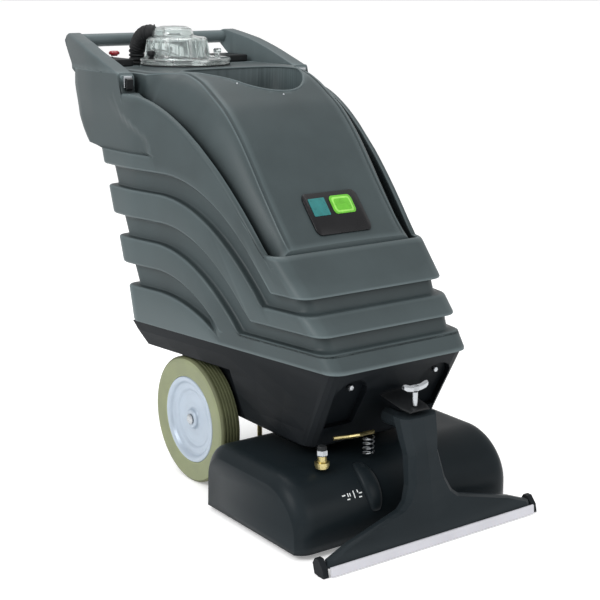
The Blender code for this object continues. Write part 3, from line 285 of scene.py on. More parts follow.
def skin(bm, rings, caps=(True, True), closed=True):
    """Quads through rings of the same number of points."""
    rows = [[bm.verts.new(p) for p in ring] for ring in rings]
    count = len(rings[0])
    faces = []
    for low, high in zip(rows, rows[1:]):
        for i in range(count if closed else count - 1):
            j = (i + 1) % count
            faces.append(bm.faces.new((low[i], low[j], high[j], high[i])))
    if caps[0]:
        bm.faces.new(rows[0][::-1])
    if caps[1]:
        bm.faces.new(rows[-1])
    return faces


def lathe(bm, profile, place, axis="Z", steps=96, closed=False):
    """Turn a profile of (radius, height) about an axis through place."""
    turn = {"Z": Matrix.Identity(4), "X": Matrix.Rotation(math.pi / 2, 4, "Y"),
            "Y": Matrix.Rotation(-math.pi / 2, 4, "X")}[axis]
    frame_matrix = Matrix.Translation(place) @ turn
    points = list(profile) + ([profile[0]] if closed else [])
    columns = []
    for k in range(steps):
        c = math.cos(math.tau * k / steps)
        s = math.sin(math.tau * k / steps)
        columns.append([bm.verts.new(frame_matrix @ Vector((r * c, r * s, z))) for r, z in points])
    for k in range(steps):
        a = columns[k]
        b = columns[(k + 1) % steps]
        for i in range(len(points) - 1):
            if points[i][0] < 1e-7 and points[i + 1][0] < 1e-7:
                continue
            bm.faces.new((a[i], b[i], b[i + 1], a[i + 1]))


def rounded(profile, radius=0.001, steps=3):
    """Break the corners of an open (radius, height) profile with small arcs."""
    out = [profile[0]]
    for before, here, after in zip(profile, profile[1:], profile[2:]):
        p = Vector(before)
        q = Vector(here)
        r = Vector(after)
        reach = min(radius, (q - p).length * 0.45, (r - q).length * 0.45)
        start = q + (p - q).normalized() * reach
        end = q + (r - q).normalized() * reach
        for k in range(steps + 1):
            t = k / steps
            out.append(tuple((1 - t) ** 2 * start + 2 * t * (1 - t) * q + t * t * end))
    out.append(profile[-1])
    return out


def sweep(bm, path, section, caps=True):
    """Sweep a closed section, given for each path point as (side, up) pairs, along a path."""
    points = [Vector(p) for p in path]
    rings = []
    side = None
    for i, point in enumerate(points):
        way = (points[min(i + 1, len(points) - 1)] - points[max(i - 1, 0)]).normalized()
        if side is None:
            side = way.orthogonal().normalized()
        side = (side - way * side.dot(way)).normalized()
        up = way.cross(side)
        rings.append([tuple(point + side * u + up * v) for u, v in section(i)])
    skin(bm, rings, (caps, caps))


def circle(radius, count=24):
    angles = [math.tau * k / count for k in range(count)]
    return [(radius * math.cos(a), radius * math.sin(a)) for a in angles]


def curve_through(points, count):
    """Evenly counted points on a Catmull-Rom curve through the given ones."""
    pts = [np.array(p, float) for p in points]
    pts = [2 * pts[0] - pts[1]] + pts + [2 * pts[-1] - pts[-2]]
    out = []
    for k in range(count):
        u = k / (count - 1) * (len(pts) - 3)
        i = min(int(u), len(pts) - 4)
        t = u - i
        a, b, c, d = pts[i:i + 4]
        out.append(0.5 * (2 * b + (c - a) * t + (2 * a - 5 * b + 4 * c - d) * t * t
                          + (3 * b - a - 3 * c + d) * t ** 3))
    return [tuple(p) for p in out]


def boolean(obj, tools, operation="DIFFERENCE"):
    """Cut obj with throwaway tool objects and keep the result."""
    for tool in tools:
        modifier = obj.modifiers.new("cut", "BOOLEAN")
        modifier.operation = operation
        modifier.solver = "EXACT"
        modifier.object = tool
        graph = bpy.context.evaluated_depsgraph_get()
        mesh = bpy.data.meshes.new_from_object(obj.evaluated_get(graph))
        obj.modifiers.clear()
        obj.data = mesh
        bpy.data.objects.remove(tool, do_unlink=True)
    obj.data.shade_smooth()
    obj.data.set_sharp_from_angle(angle=math.radians(38))


def tool_object(bm):
    bmesh.ops.remove_doubles(bm, verts=bm.verts, dist=0.00001)
    bmesh.ops.recalc_face_normals(bm, faces=bm.faces)
    bm.transform(Matrix.Translation((0, AXLE_Y, 0)))
    mesh = bpy.data.meshes.new("tool")
    bm.to_mesh(mesh)
    bm.free()
    obj = bpy.data.objects.new("tool", mesh)
    bpy.context.scene.collection.objects.link(obj)
    return obj


def round_tool(radius, low, high, place, steps=96):
    """A throwaway upright cylinder for a Boolean."""
    bm = bmesh.new()
    lathe(bm, [(0, low), (radius, low), (radius, high), (0, high)], place, steps=steps)
    return tool_object(bm)


def smooth(value, low, high):
    t = float(np.clip((value - low) / (high - low), 0, 1))
    return t * t * (3 - 2 * t)


# ---------------------------------------------------------------- body lines

def waterfall(y, rear_z, front_z, crest_y, length, power=2.0):
    t = float(np.clip((crest_y - y) / length, 0, 1))
    return rear_z + (front_z - rear_z) * t ** power


def side_x(y, z):
    bend = FLARE_END_Y - 0.02
    run = y if y < bend else bend + (FLARE_END_Y - bend) * (1 - math.exp(-(y - bend) / 0.02))
    return FLARE_X0 + FLARE * run - DRAFT * (z - TANK_BOTTOM)


def front_y(z):
    return float(np.interp(z, [0.311, 0.343, 0.370, 0.403, 0.430, 0.497, 0.550, 0.655, 0.755],
                           [-0.425, -0.400, -0.390, -0.355, -0.344, -0.275, -0.240, -0.155, -0.030]))


def rear_y(z):
    return float(np.interp(z, [0.310, 0.382, 0.424, 0.476, 0.517, 0.572, 0.612, 0.6435, 0.6455, 0.700, 0.760],
                           [0.139, 0.157, 0.176, 0.196, 0.218, 0.241, 0.261, 0.273, 0.335, 0.400, 0.442]))


def rim_z(y):
    return waterfall(y, 0.757, 0.497, 0.150, 0.388, 1.75) + (TANK_TOP - 0.757) * smooth(y, 0.1835, 0.1895)


def rear_corner(z):
    """Radius of the rear corner: wider at the top, where the arms leave the body."""
    return REAR_CORNER_R + REAR_CORNER_SPREAD * smooth(z, 0.650, 0.765)


def ease_in(y):
    """How far the arms, and the body under them, lean in towards the grip."""
    return 0.020 * float(np.clip((y - 0.30) / 0.16, 0, 1)) ** 1.5


def knee_z(y):
    return waterfall(y, 0.640, 0.462, 0.045, 0.305)


def blend_x(y):
    """Half width of the nest, inside the rim in front and inside the arms behind."""
    beside_rim = side_x(y, rim_z(min(y, 0.18))) - 0.012
    return beside_rim + (ARM_INNER_X - beside_rim) * float(np.clip((y - 0.115) / 0.05, 0, 1))


def top_z(y):
    knots = [-0.259, -0.236, -0.216, -0.170, -0.129, -0.094, -0.052, -0.017, 0.030, 0.060, 0.090]
    heights = [0.503, 0.528, 0.550, 0.604, 0.655, 0.695, 0.733, 0.755, 0.781, 0.7915, DECK_TOP]
    if y >= knots[-1]:
        return DECK_TOP
    i = max(1, min(int(np.searchsorted(knots, y)), len(knots) - 1))
    slopes = [0.0] * len(knots)
    for k in range(1, len(knots) - 1):
        slopes[k] = (heights[k + 1] - heights[k - 1]) / (knots[k + 1] - knots[k - 1])
    slopes[0] = (heights[1] - heights[0]) / (knots[1] - knots[0])
    h = knots[i] - knots[i - 1]
    t = float(np.clip((y - knots[i - 1]) / h, 0, 1))
    return ((2 * t ** 3 - 3 * t * t + 1) * heights[i - 1] + (t ** 3 - 2 * t * t + t) * h * slopes[i - 1]
            + (3 * t * t - 2 * t ** 3) * heights[i] + (t ** 3 - t * t) * h * slopes[i])


def bottom_z(y):
    return float(np.interp(y, [-0.259, -0.200, 0.130, 0.240, 0.280, 0.322],
                           [0.475, 0.470, 0.504, 0.642, 0.672, 0.690]))


def crease_x(y):
    return CREASE_X + 0.046 * smooth(y, 0.085, 0.170)


# ---------------------------------------------------------------- solution tank

def recess_rows(low, high, fade=False):
    """Rows that turn over a band's top edge, into the recess, up its wall and out under the next band."""
    def deep(y):
        return RECESS * (float(np.clip((y + 0.125) / 0.04, 0, 1)) if fade else 1.0)

    def squeeze(y):
        return min(1.0, (high(y) - low(y)) / 0.020)

    rows = []
    turn_in = ((-0.0050, 0.0), (-0.0022, 0.03), (-0.0006, 0.13), (0.0, 0.30), (0.0006, 0.62), (0.0014, 0.86),
               (0.0036, 0.97), (0.0065, 1.0))
    turn_out = ((-0.0062, 1.0), (-0.0034, 0.97), (-0.0014, 0.85), (-0.0005, 0.60), (0.0, 0.32),
                (0.0008, 0.14), (0.0026, 0.03), (0.0055, 0.0))
    for base, offset, share in [(low, *step) for step in turn_in] + [(high, *step) for step in turn_out]:
        rows.append((lambda y, b=base, o=offset: b(y) + o * squeeze(y), lambda y, s=share: deep(y) * s))
    return rows


def flat_row(z_of_y, inset=0.0):
    return [(z_of_y, lambda y: inset)]


# Each recess runs between two waterfall lines, given by rear height, front height, crest and length.
# The lowest one fades out towards the front.
RECESSES = [((0.382, 0.322, 0.060, 0.190), (0.424, 0.337, 0.060, 0.190), True),
            ((0.476, 0.343, 0.070, 0.250), (0.517, 0.370, 0.050, 0.258), False),
            ((0.572, 0.403, 0.060, 0.298), (0.612, 0.430, 0.045, 0.305), False)]
SIDE_COLUMNS = 84
FRONT_COLUMNS = 6
CORNER_STEPS = 9
REAR_STEPS = 6


def tank_half(z_of_y, inset):
    """Half a ring of the tank: front face, rounded corner, flared side, rear corner, rear face."""
    front_z = z_of_y(-0.30)
    rear_z = z_of_y(0.30)
    yf = front_y(front_z) + inset(-0.30)
    yr = rear_y(rear_z) - inset(0.30)
    corner_x = side_x(yf + CORNER_R, front_z) - inset(-0.30) - CORNER_R
    half = [(corner_x * k / FRONT_COLUMNS, yf, front_z) for k in range(FRONT_COLUMNS)]
    for k in range(CORNER_STEPS):
        a = k / CORNER_STEPS * math.pi / 2
        half.append((corner_x + CORNER_R * math.sin(a), yf + CORNER_R * (1 - math.cos(a)), front_z))
    z = front_z
    for k in range(SIDE_COLUMNS + 1):
        t = k / SIDE_COLUMNS
        for _ in range(10):
            low = front_y(z) + inset(-0.30) + CORNER_R
            high = rear_y(z) - inset(0.30) - rear_corner(rear_z)
            y = low + (high - low) * t
            z = z_of_y(y)
        half.append((side_x(y, z) - ease_in(y) * smooth(z, 0.650, 0.765) - inset(y) - panel(y, z), y, z))
    radius = rear_corner(rear_z)
    rear_x = half[-1][0] - radius
    for k in range(1, REAR_STEPS):
        a = k / REAR_STEPS * math.pi / 2
        half.append((rear_x + radius * math.cos(a), yr - radius * (1 - math.sin(a)), rear_z))
    for k in range(REAR_STEPS + 1):
        half.append((rear_x * (1 - k / REAR_STEPS), yr, rear_z))
    return half


def nest_half(outer, grow, drop):
    """The nest's edge beside the rim's outer points, grown outwards and dropped below the rim."""
    half = []
    last = next(i for i, p in enumerate(outer) if p[1] > NEST_REAR)
    for i, (x, y, _) in enumerate(outer):
        if i < last:
            yi = max(y, NEST_FRONT - grow)
            xi = min(x, blend_x(yi) + grow)
        else:
            share = (i - last) / (len(outer) - 1 - last)
            yi = NEST_REAR + grow
            xi = (blend_x(NEST_REAR) + grow) * (1 - share)
        half.append((xi, yi, rim_z(min(yi, NEST_REAR)) - drop))
    return half


def nest_low(outer, z_of_y, front, rear, shrink):
    half = []
    low = outer[0][1]
    high = outer[-1][1]
    for x, y, _ in outer:
        t = (y - low) / (high - low)
        yi = front + (rear - front) * t
        z = z_of_y(yi)
        half.append((min(x, side_x(yi, z) - 0.012 - shrink), yi, z))
    return half


def panel(y, z):
    """Depth of the shallow panel under the arm: a soft crease in front and a lip below."""
    crease = float(np.interp(z, [0.640, 0.6735, 0.712, 0.743, 0.7515], [0.085, 0.086, 0.173, 0.2246, 0.262]))
    behind_crease = smooth(y - crease, 0.0, 0.014)
    above_lip = smooth(z, 0.6425, 0.6440) * (1 - smooth(z, 0.690, 0.757))
    return PANEL_DEPTH * behind_crease * above_lip


def both_sides(half):
    return half + [(-x, y, z) for x, y, z in half[-2:0:-1]]


def solution_tank():
    rows = flat_row(lambda y: TANK_BOTTOM, 0.004) + flat_row(lambda y: TANK_BOTTOM + 0.0012, 0.0012)
    rows += flat_row(lambda y: TANK_BOTTOM + 0.0045)
    for low, high, fade in RECESSES:
        rows += recess_rows(lambda y, w=low: waterfall(y, *w), lambda y, w=high: waterfall(y, *w), fade)
    for rear in (0.6380, 0.6425, 0.6445):
        rows += flat_row(lambda y, r=rear: waterfall(y, r, r - 0.176, 0.045, 0.305))
    for share in np.linspace(0, 1, 12):
        rows += flat_row(lambda y, t=float(share): (1 - t) * waterfall(y, 0.648, 0.472, 0.045, 0.305)
                         + t * (rim_z(y) - 0.0060))

    def ahead_of_arm(y):
        return 1 - smooth(y, 0.184, 0.200)

    for drop, inset in ((0.0022, 0.0008), (0.0004, 0.0028)):
        rows.append((lambda y, d=drop: rim_z(y) - d, lambda y, w=inset: w * ahead_of_arm(y)))
    halves = [tank_half(z, inset) for z, inset in rows]
    edge = tank_half(rim_z, lambda y: 0.0003 + 0.0047 * ahead_of_arm(y))
    halves.append(edge)
    for grow, drop in ((0.0040, 0.0), (0.0012, 0.0010), (0.0, 0.0040), (0.0, 0.0500)):
        halves.append(nest_half(edge, grow, drop))
    halves.append(nest_low(edge, lambda y: knee_z(y) - 0.010, NEST_FRONT, 0.252, 0.010))
    halves.append(nest_low(edge, lambda y: knee_z(y) - 0.070, -0.300, 0.200, NEST_STEP))
    halves.append(nest_low(edge, lambda y: TANK_BOTTOM + 0.010, -0.360, 0.120, NEST_STEP))
    bm = bmesh.new()
    skin(bm, [both_sides(h) for h in halves])
    obj = piece("solution_tank_shell", bm, "tank", "chassis", ["solution_tank"], 42)
    riser = round_tool(HOSE_R + 0.005, RISER_FLOOR, CUT_TOP, (HOSE_X, HOSE_Y, 0), 48)
    boss = round_tool(DOME_FLANGE_R + 0.0025, BOSS_BOTTOM - 0.006, CUT_TOP, (DOME.x, DOME.y, 0))
    boolean(obj, [riser, boss])


def arm(side):
    """Handle arm: a deep tapering box with soft edges, flush with the body's side where they meet."""
    rings = []
    for k in range(61):
        y = ARM_FRONT_Y + (GRIP_END_Y - ARM_FRONT_Y) * math.sin(k / 60 * math.pi / 2) ** 0.85
        high = float(np.interp(y, [ARM_FRONT_Y, 0.193, 0.210, 0.280, 0.360, 0.420, 0.447, 0.460, GRIP_END_Y],
                               [0.790, 0.7945, 0.800, 0.8225, 0.846, 0.8585, 0.8635, 0.860, 0.851]))
        low = float(np.interp(y, [ARM_FRONT_Y, 0.262, 0.340, 0.411, 0.421, 0.446, 0.462, GRIP_END_Y],
                              [0.700, 0.700, 0.720, 0.775, 0.800, 0.820, 0.834, 0.844]))
        inner = side_x(y, TANK_TOP) - ease_in(y) - ARM_THICKNESS
        edge = min(ARM_EDGE, (high - low) * 0.4)

        def face(z):
            return side_x(y, z) - ease_in(y) - 0.009 * (1 - smooth(z, 0.780, 0.792))

        section = [(inner, low + edge * 0.5), (inner + edge * 0.5, low)]
        for step in range(5):
            a = math.pi / 2 * step / 4
            section.append((face(low + edge) - edge * (1 - math.sin(a)), low + edge * (1 - math.cos(a))))
        for share in np.linspace(0, 1, 12)[1:-1]:
            z = low + edge + (high - low - 2 * edge) * float(share)
            section.append((face(z), z))
        for step in range(5):
            a = math.pi / 2 * step / 4
            section.append((face(high - edge) - edge * (1 - math.cos(a)), high - edge * (1 - math.sin(a))))
        section += [(inner + edge * 0.7, high), (inner + edge * 0.2, high - edge * 0.2),
                    (inner, high - edge * 0.7)]
        rings.append([(side * x, y, z) for x, z in section])
    bm = bmesh.new()
    skin(bm, rings)
    name = "right" if side > 0 else "left"
    piece(f"handle_arm_{name}", bm, "tank", "chassis", angle=40)


def grip_bar():
    """Round bar between the two arms, its ends let into them."""
    half = side_x(GRIP_Y, GRIP_Z) - ease_in(GRIP_Y) - ARM_THICKNESS + 0.004
    profile = [(0, -half), (GRIP_R, -half), (GRIP_R, half), (0, half)]
    bm = bmesh.new()
    lathe(bm, profile, (0, GRIP_Y, GRIP_Z), "X", 64)
    piece("grip_bar", bm, "tank", "chassis", ["handle_bar"])


# ---------------------------------------------------------------- recovery tank

WELL_RIM = [(-0.109, 0.079), (-0.065, 0.038), (-0.035, 0.013), (0.000, -0.002), (0.034, -0.007),
            (0.062, -0.003), (0.088, 0.012), (0.112, 0.042), (0.127, 0.082), (0.128, 0.122),
            (0.113, 0.153), (0.080, 0.167), (0.030, 0.171), (-0.030, 0.171), (-0.078, 0.166),
            (-0.108, 0.148), (-0.122, 0.115)]


def well_outline(grow=0.0):
    """Rim of the water fill well seen from above, closed and rounded, grown outwards."""
    loop = WELL_RIM[-1:] + WELL_RIM + WELL_RIM[:2]
    fine = curve_through(loop, 6 * (len(loop) - 1) + 1)[6:-12]
    ring = []
    for before, here, after in zip(fine[-1:] + fine[:-1], fine, fine[1:] + fine[:1]):
        way = Vector((after[0] - before[0], after[1] - before[1])).normalized()
        ring.append((here[0] + way.y * grow, here[1] - way.x * grow))
    return ring


def flank(u):
    """The flank's fall from the crease's rib to the heel, ever steeper towards the heel."""
    return 1.0 - 0.30 * u - 0.70 * u ** 2.6


def heel_x(y):
    """Half width of the recovery tank at its heel: a clear gap to the rim in front of the arms."""
    return blend_x(y) - NEST_GAP - 0.008 * smooth(0.185 - y, 0.0, 0.08) * smooth(y, -0.262, -0.215)


def heel_z(y):
    return rim_z(min(y, 0.18)) - HEEL_DROP * smooth(0.185 - y, 0.0, 0.06) - 0.004


def top_surface(x, y):
    """Height of the recovery tank's top at (x, y)."""
    x = abs(x)
    crease = crease_x(y)
    crown = 0.0001 + 0.002 * (1 - float(np.clip((y - 0.10) / 0.07, 0, 1)))
    top = top_z(y)
    if x <= crease:
        return top + crown * (1 - (x / crease) ** 2)
    side = heel_x(y)
    low = heel_z(y)
    return low + (top - low) * flank(min(1.0, (x - crease) / (side - crease)))


def recovery_section(y):
    crease = crease_x(y)
    side = heel_x(y)
    low = heel_z(y)
    floor = bottom_z(y)
    groove = 0.0044 * smooth(y, -0.262, -0.240)
    half = []
    for k in range(13):
        x = (crease - 0.0055) * k / 12
        half.append((x, top_surface(x, y)))
    for offset, deep in ((-0.0035, 0.25), (-0.0018, 0.85), (-0.0004, 1.0), (0.0010, 0.85), (0.0026, 0.20),
                         (0.0045, -0.25)):
        x = crease + offset
        half.append((x, top_surface(x, y) - groove * deep))
    for k in range(1, 19):
        x = crease + 0.0045 + (side - crease - 0.0045) * k / 18
        half.append((x, top_surface(x, y)))
    half += [(side, low - 0.002), (side - 0.006, max(low - 0.006, floor + 0.003)),
             (side - NEST_STEP, max(low - 0.012, floor + 0.002)), (side - NEST_STEP, floor), (0.0, floor)]
    ring = half + [(-x, z) for x, z in half[-2:0:-1]]
    return [(x, y, z) for x, z in ring]


def recovery_tank():
    bm = bmesh.new()
    stations = [*np.linspace(-0.259, -0.20, 10), *np.linspace(-0.192, 0.20, 56)]
    stations += [*np.linspace(0.215, 0.322, 6)]
    skin(bm, [recovery_section(float(y)) for y in stations])
    obj = piece("recovery_tank_shell", bm, "tank", "recovery", ["recovery_tank"], 42)
    boss = round_tool(DOME_FLANGE_R + 0.0005, BOSS_BOTTOM, DECK_TOP + 0.0005, (DOME.x, DOME.y, 0))
    boolean(obj, [boss], "UNION")
    well = bmesh.new()
    skin(well, [[(x, y, z) for x, y in well_outline(grow)] for z, grow in
                ((WELL_FLOOR, -0.010), (WELL_FLOOR + 0.002, -0.004), (WELL_FLOOR + 0.008, 0.0),
                 (WELL_CUT_TOP, 0.0))])
    neck = round_tool(DOME_HOLE_R, WELL_FLOOR, WELL_CUT_TOP, (DOME.x, DOME.y, 0))
    boolean(obj, [tool_object(well), neck])
    lip = bmesh.new()
    path = [(x, y, top_surface(x, y) - 0.0008) for x, y in well_outline(0.0006)]
    rings = []
    for i, point in enumerate(path):
        before = Vector(path[i - 1])
        after = Vector(path[(i + 1) % len(path)])
        way = (after - before).normalized()
        side = Vector((way.y, -way.x, 0)).normalized()
        rings.append([tuple(Vector(point) + side * u + Vector((0, 0, v))) for u, v in
                      [(a * 1.35, b) for a, b in circle(0.0021, 12)]])
    skin(lip, rings + [rings[0]], (False, False))
    piece("well_lip", lip, "tank", "recovery", angle=60)


def badge():
    """Blank rounded badge on the slope with two plain coloured shapes."""
    def patch(name, x0, x1, y0, y1, radius, lift, mat, thick, replaces=()):
        steps = 6
        ring = []
        for cx, cy, start in ((x1 - radius, y1 - radius, 0), (x0 + radius, y1 - radius, 90),
                              (x0 + radius, y0 + radius, 180), (x1 - radius, y0 + radius, 270)):
            for k in range(steps + 1):
                a = math.radians(start + 90 * k / steps)
                ring.append((cx + radius * math.cos(a), cy + radius * math.sin(a)))
        rings = []
        for height, shrink in ((lift, 0.0), (lift + thick * 0.7, 0.0), (lift + thick, 0.0006)):
            row = []
            for x, y in ring:
                xs = x - math.copysign(shrink, x - (x0 + x1) / 2)
                ys = y - math.copysign(shrink, y - (y0 + y1) / 2)
                slope = (top_z(ys + 0.002) - top_z(ys - 0.002)) / 0.004
                normal = Vector((0, -slope, 1)).normalized()
                row.append(tuple(Vector((xs, ys, top_surface(xs, ys))) + normal * height))
            rings.append(row)
        bm = bmesh.new()
        skin(bm, rings, (True, False))
        bm.faces.new([bm.verts.new(p) for p in rings[-1]])
        bmesh.ops.triangulate(bm, faces=[f for f in bm.faces if len(f.verts) > 4])
        piece(name, bm, mat, "recovery", replaces, 60)

    patch("badge_panel", -0.060, 0.066, -0.246, -0.186, 0.010, 0.0008, "label", 0.0026, ["label_plate"])
    patch("badge_square", -0.050, -0.013, -0.2190, -0.1940, 0.0015, 0.0042, "teal", 0.0006)
    patch("badge_round", -0.003, 0.048, -0.2190, -0.1930, 0.007, 0.0042, "green", 0.0006)
    patch("badge_inner", 0.0015, 0.0435, -0.2170, -0.1955, 0.005, 0.0048, "pale_green", 0.0003)
    patch("badge_core", 0.0050, 0.0400, -0.2145, -0.1980, 0.004, 0.0051, "green", 0.0003)


# ---------------------------------------------------------------- lid and hose

def lean(z):
    """The dome's two tiers stand off the flange's middle, towards the rear and the hose."""
    return Vector((-0.0138, 0.0099, 0)) * (smooth(z - DOME.z, 0.0120, 0.0135)
                                           + 0.5 * smooth(z - DOME.z, 0.0550, 0.0590))


def dome_lid():
    z = DOME.z
    outer = [(0, z + 0.0790), (0.026, z + 0.0778), (0.0375, z + 0.0735), (0.0425, z + 0.0665),
             (0.0436, z + 0.0590), (0.0480, z + 0.0560), (0.0590, z + 0.0550), (0.0628, z + 0.0515),
             (0.0655, z + 0.0180), (0.0670, z + 0.0135), (DOME_FLANGE_R - 0.0015, z + 0.0120),
             (DOME_FLANGE_R, z + 0.0100), (DOME_FLANGE_R, z + 0.0062),
             (DOME_FLANGE_R - 0.0030, z + 0.0055), (DOME_FLANGE_R - 0.0030, z + 0.0040),
             (DOME_FLANGE_R - 0.0004, z + 0.0032), (DOME_FLANGE_R - 0.0004, z + 0.0003),
             (0.0640, z + 0.0003)]
    inner = [(0.0628, z + 0.0140), (0.0600, z + 0.0490), (0.0570, z + 0.0520), (0.0440, z + 0.0530),
             (0.0408, z + 0.0580), (0.0400, z + 0.0650), (0.0360, z + 0.0705), (0.0260, z + 0.0745),
             (0, z + 0.0757)]
    bm = bmesh.new()
    lathe(bm, rounded(outer, 0.0018, 3) + rounded(inner, 0.0015, 2), (DOME.x, DOME.y, 0), steps=128)
    for vert in bm.verts:
        vert.co += lean(vert.co.z)
    heading = Vector((*SPIGOT_WAY, 0))
    turn = Vector((0, 0, 1)).rotation_difference(heading).to_matrix().to_4x4()
    spigot = bmesh.new()
    lathe(spigot, [(0, 0.0450), (SPIGOT_R, 0.0450), (SPIGOT_R, 0.0640), (SPIGOT_R - 0.0005, 0.0645),
                   (0, 0.0645)], (0, 0, 0), steps=40)
    spigot.transform(Matrix.Translation((DOME.x, DOME.y, SPIGOT_Z)) @ turn)
    mesh = bpy.data.meshes.new("spigot")
    spigot.to_mesh(mesh)
    spigot.free()
    bm.from_mesh(mesh)
    piece("dome_lid_shell", bm, "clear", "lid", ["dome_lid"], 50)
    ribs = bmesh.new()
    for k in range(20):
        a = math.tau * (k + 0.5) / 20
        way = Vector((math.cos(a), math.sin(a), 0))
        side = Vector((-way.y, way.x, 0))
        rings = []
        for height, reach in ((0.0125, 0.0705), (0.0200, 0.0690), (0.0350, 0.0665), (0.0500, 0.0640),
                              (0.0530, 0.0605)):
            centre = Vector((DOME.x, DOME.y, z + height)) + lean(z + 0.030)
            profile = ((0.0060, -0.0014), (0.0008, -0.0012), (0.0, 0.0), (0.0008, 0.0012), (0.0060, 0.0014))
            rings.append([tuple(centre + way * (reach - back) + side * across) for back, across in profile])
        skin(ribs, rings)
    piece("dome_lid_ribs", ribs, "clear", "lid", angle=30)


def vacuum_hose():
    """Ribbed hose from the dome's spigot, over and down into the riser."""
    bend = [(DOME.x + SPIGOT_WAY[0] * r, DOME.y + SPIGOT_WAY[1] * r, SPIGOT_Z - 0.0005)
            for r in (0.0655, 0.0720)]
    bend += [(-0.0655, 0.3720, 0.8600), (HOSE_X, 0.3920, 0.8480), (HOSE_X, 0.4060, 0.8290),
             (HOSE_X, HOSE_Y, 0.8100), (HOSE_X, HOSE_Y, 0.7800)]
    path = curve_through(bend, 260)
    lengths = [0.0]
    for a, b in zip(path, path[1:]):
        lengths.append(lengths[-1] + math.dist(a, b))

    def section(i):
        wave = 0.5 + 0.5 * math.cos(math.tau * lengths[i] / RIB_PITCH)
        return circle(HOSE_R - RIB_DEPTH + RIB_DEPTH * wave ** 0.5, 40)

    bm = bmesh.new()
    sweep(bm, path, section)
    piece("hose_ribbed", bm, "rubber", "lid", ["vacuum_hose"], 60)


def lid_knobs():
    """Scalloped hand knobs on the lid's flange."""
    for name, degrees in (("left", 183), ("rear", 85), ("right", 5)):
        a = math.radians(degrees)
        place = Vector((DOME.x + 0.085 * math.cos(a), DOME.y + 0.085 * math.sin(a), DOME.z + 0.0123))
        rings = []
        for radius, height in ((0.0070, 0.0), (0.0074, 0.0010), (0.0045, 0.0022), (0.0045, 0.0052),
                               (0.0078, 0.0068), (0.0086, 0.0090), (0.0086, 0.0135), (0.0078, 0.0158),
                               (0.0050, 0.0165)):
            ring = []
            for k in range(48):
                t = math.tau * k / 48
                scallop = 1.0 - (0.07 * (0.5 + 0.5 * math.cos(8 * t)) if radius > 0.0076 else 0)
                reach = radius * scallop
                ring.append((place.x + reach * math.cos(t), place.y + reach * math.sin(t), place.z + height))
            rings.append(ring)
        bm = bmesh.new()
        skin(bm, rings)
        mat = "clear" if name == "right" else "black"
        piece(f"hand_knob_{name}", bm, mat, f"knob_{name}", [f"lid_knob_{name}"], 50)


# ---------------------------------------------------------------- wheels

def wheel(side):
    name = "right" if side > 0 else "left"
    outer = WHEEL_OUTER_X
    inner = outer - WHEEL_WIDTH
    shoulder = [(RIM_R + 0.0005, outer - 0.0035), (RIM_R + 0.0030, outer - 0.0022),
                (RIM_R + 0.0120, outer - 0.0012), (RIM_R + 0.0240, outer - 0.0004),
                (WHEEL_R - 0.0110, outer), (WHEEL_R - 0.0050, outer - 0.0012),
                (WHEEL_R - 0.0012, outer - 0.0038)]
    tread = []
    start = outer - 0.0060
    pitch = (WHEEL_WIDTH - 0.0120) / 5
    for k in range(5):
        x = start - pitch * k
        tread += [(WHEEL_R, x), (WHEEL_R, x - pitch * 0.60), (WHEEL_R - 0.0028, x - pitch * 0.68),
                  (WHEEL_R - 0.0028, x - pitch * 0.92)]
    tread += [(WHEEL_R, inner + 0.0060)]
    back = [(r, outer + inner - x) for r, x in shoulder[::-1]]
    seat = [(RIM_R + 0.0005, inner + 0.0035), (RIM_R + 0.0005, outer - 0.0035)]
    bm = bmesh.new()
    profile = [(r, side * x) for r, x in rounded(shoulder + tread + back + seat, 0.0006, 2)]
    lathe(bm, profile, (0, 0, WHEEL_R), "X", 128)
    tyre = piece(f"tyre_moulded_{name}", bm, ["tyre", "tread"], f"wheel_{name}", [f"tyre_{name}"], 40)
    for face in tyre.data.polygons:
        radius = math.hypot(face.center.y - AXLE_Y, face.center.z - WHEEL_R)
        face.material_index = 1 if radius > WHEEL_R - TREAD_DEPTH else 0
    disc = [(0.0083, outer - 0.0350), (0.0083, outer - 0.0085), (0.0100, outer - 0.0068),
            (0.0160, outer - 0.0068), (0.0185, outer - 0.0085), (0.0200, outer - 0.0130),
            (0.0230, outer - 0.0150), (0.0330, outer - 0.0165), (0.0480, outer - 0.0165),
            (0.0560, outer - 0.0150), (0.0600, outer - 0.0120), (0.0640, outer - 0.0110),
            (0.0690, outer - 0.0110), (0.0730, outer - 0.0090), (0.0760, outer - 0.0045),
            (0.0790, outer - 0.0025), (0.0830, outer - 0.0015), (0.0858, outer - 0.0022),
            (RIM_R, outer - 0.0045), (RIM_R, inner + 0.0030), (RIM_R - 0.0040, inner + 0.0020),
            (RIM_R - 0.0040, outer - 0.0140), (0.0700, outer - 0.0180), (0.0230, outer - 0.0220),
            (0.0190, outer - 0.0260), (0.0190, inner + 0.0010), (0.0083, inner + 0.0010),
            (0.0083, outer - 0.0350)]
    bm = bmesh.new()
    lathe(bm, [(r, side * x) for r, x in rounded(disc, 0.0012, 3)], (0, 0, WHEEL_R), "X", 128)
    piece(f"rim_pressed_{name}", bm, "rim", f"wheel_{name}", [f"rim_{name}"], 40)


# ---------------------------------------------------------------- brush deck

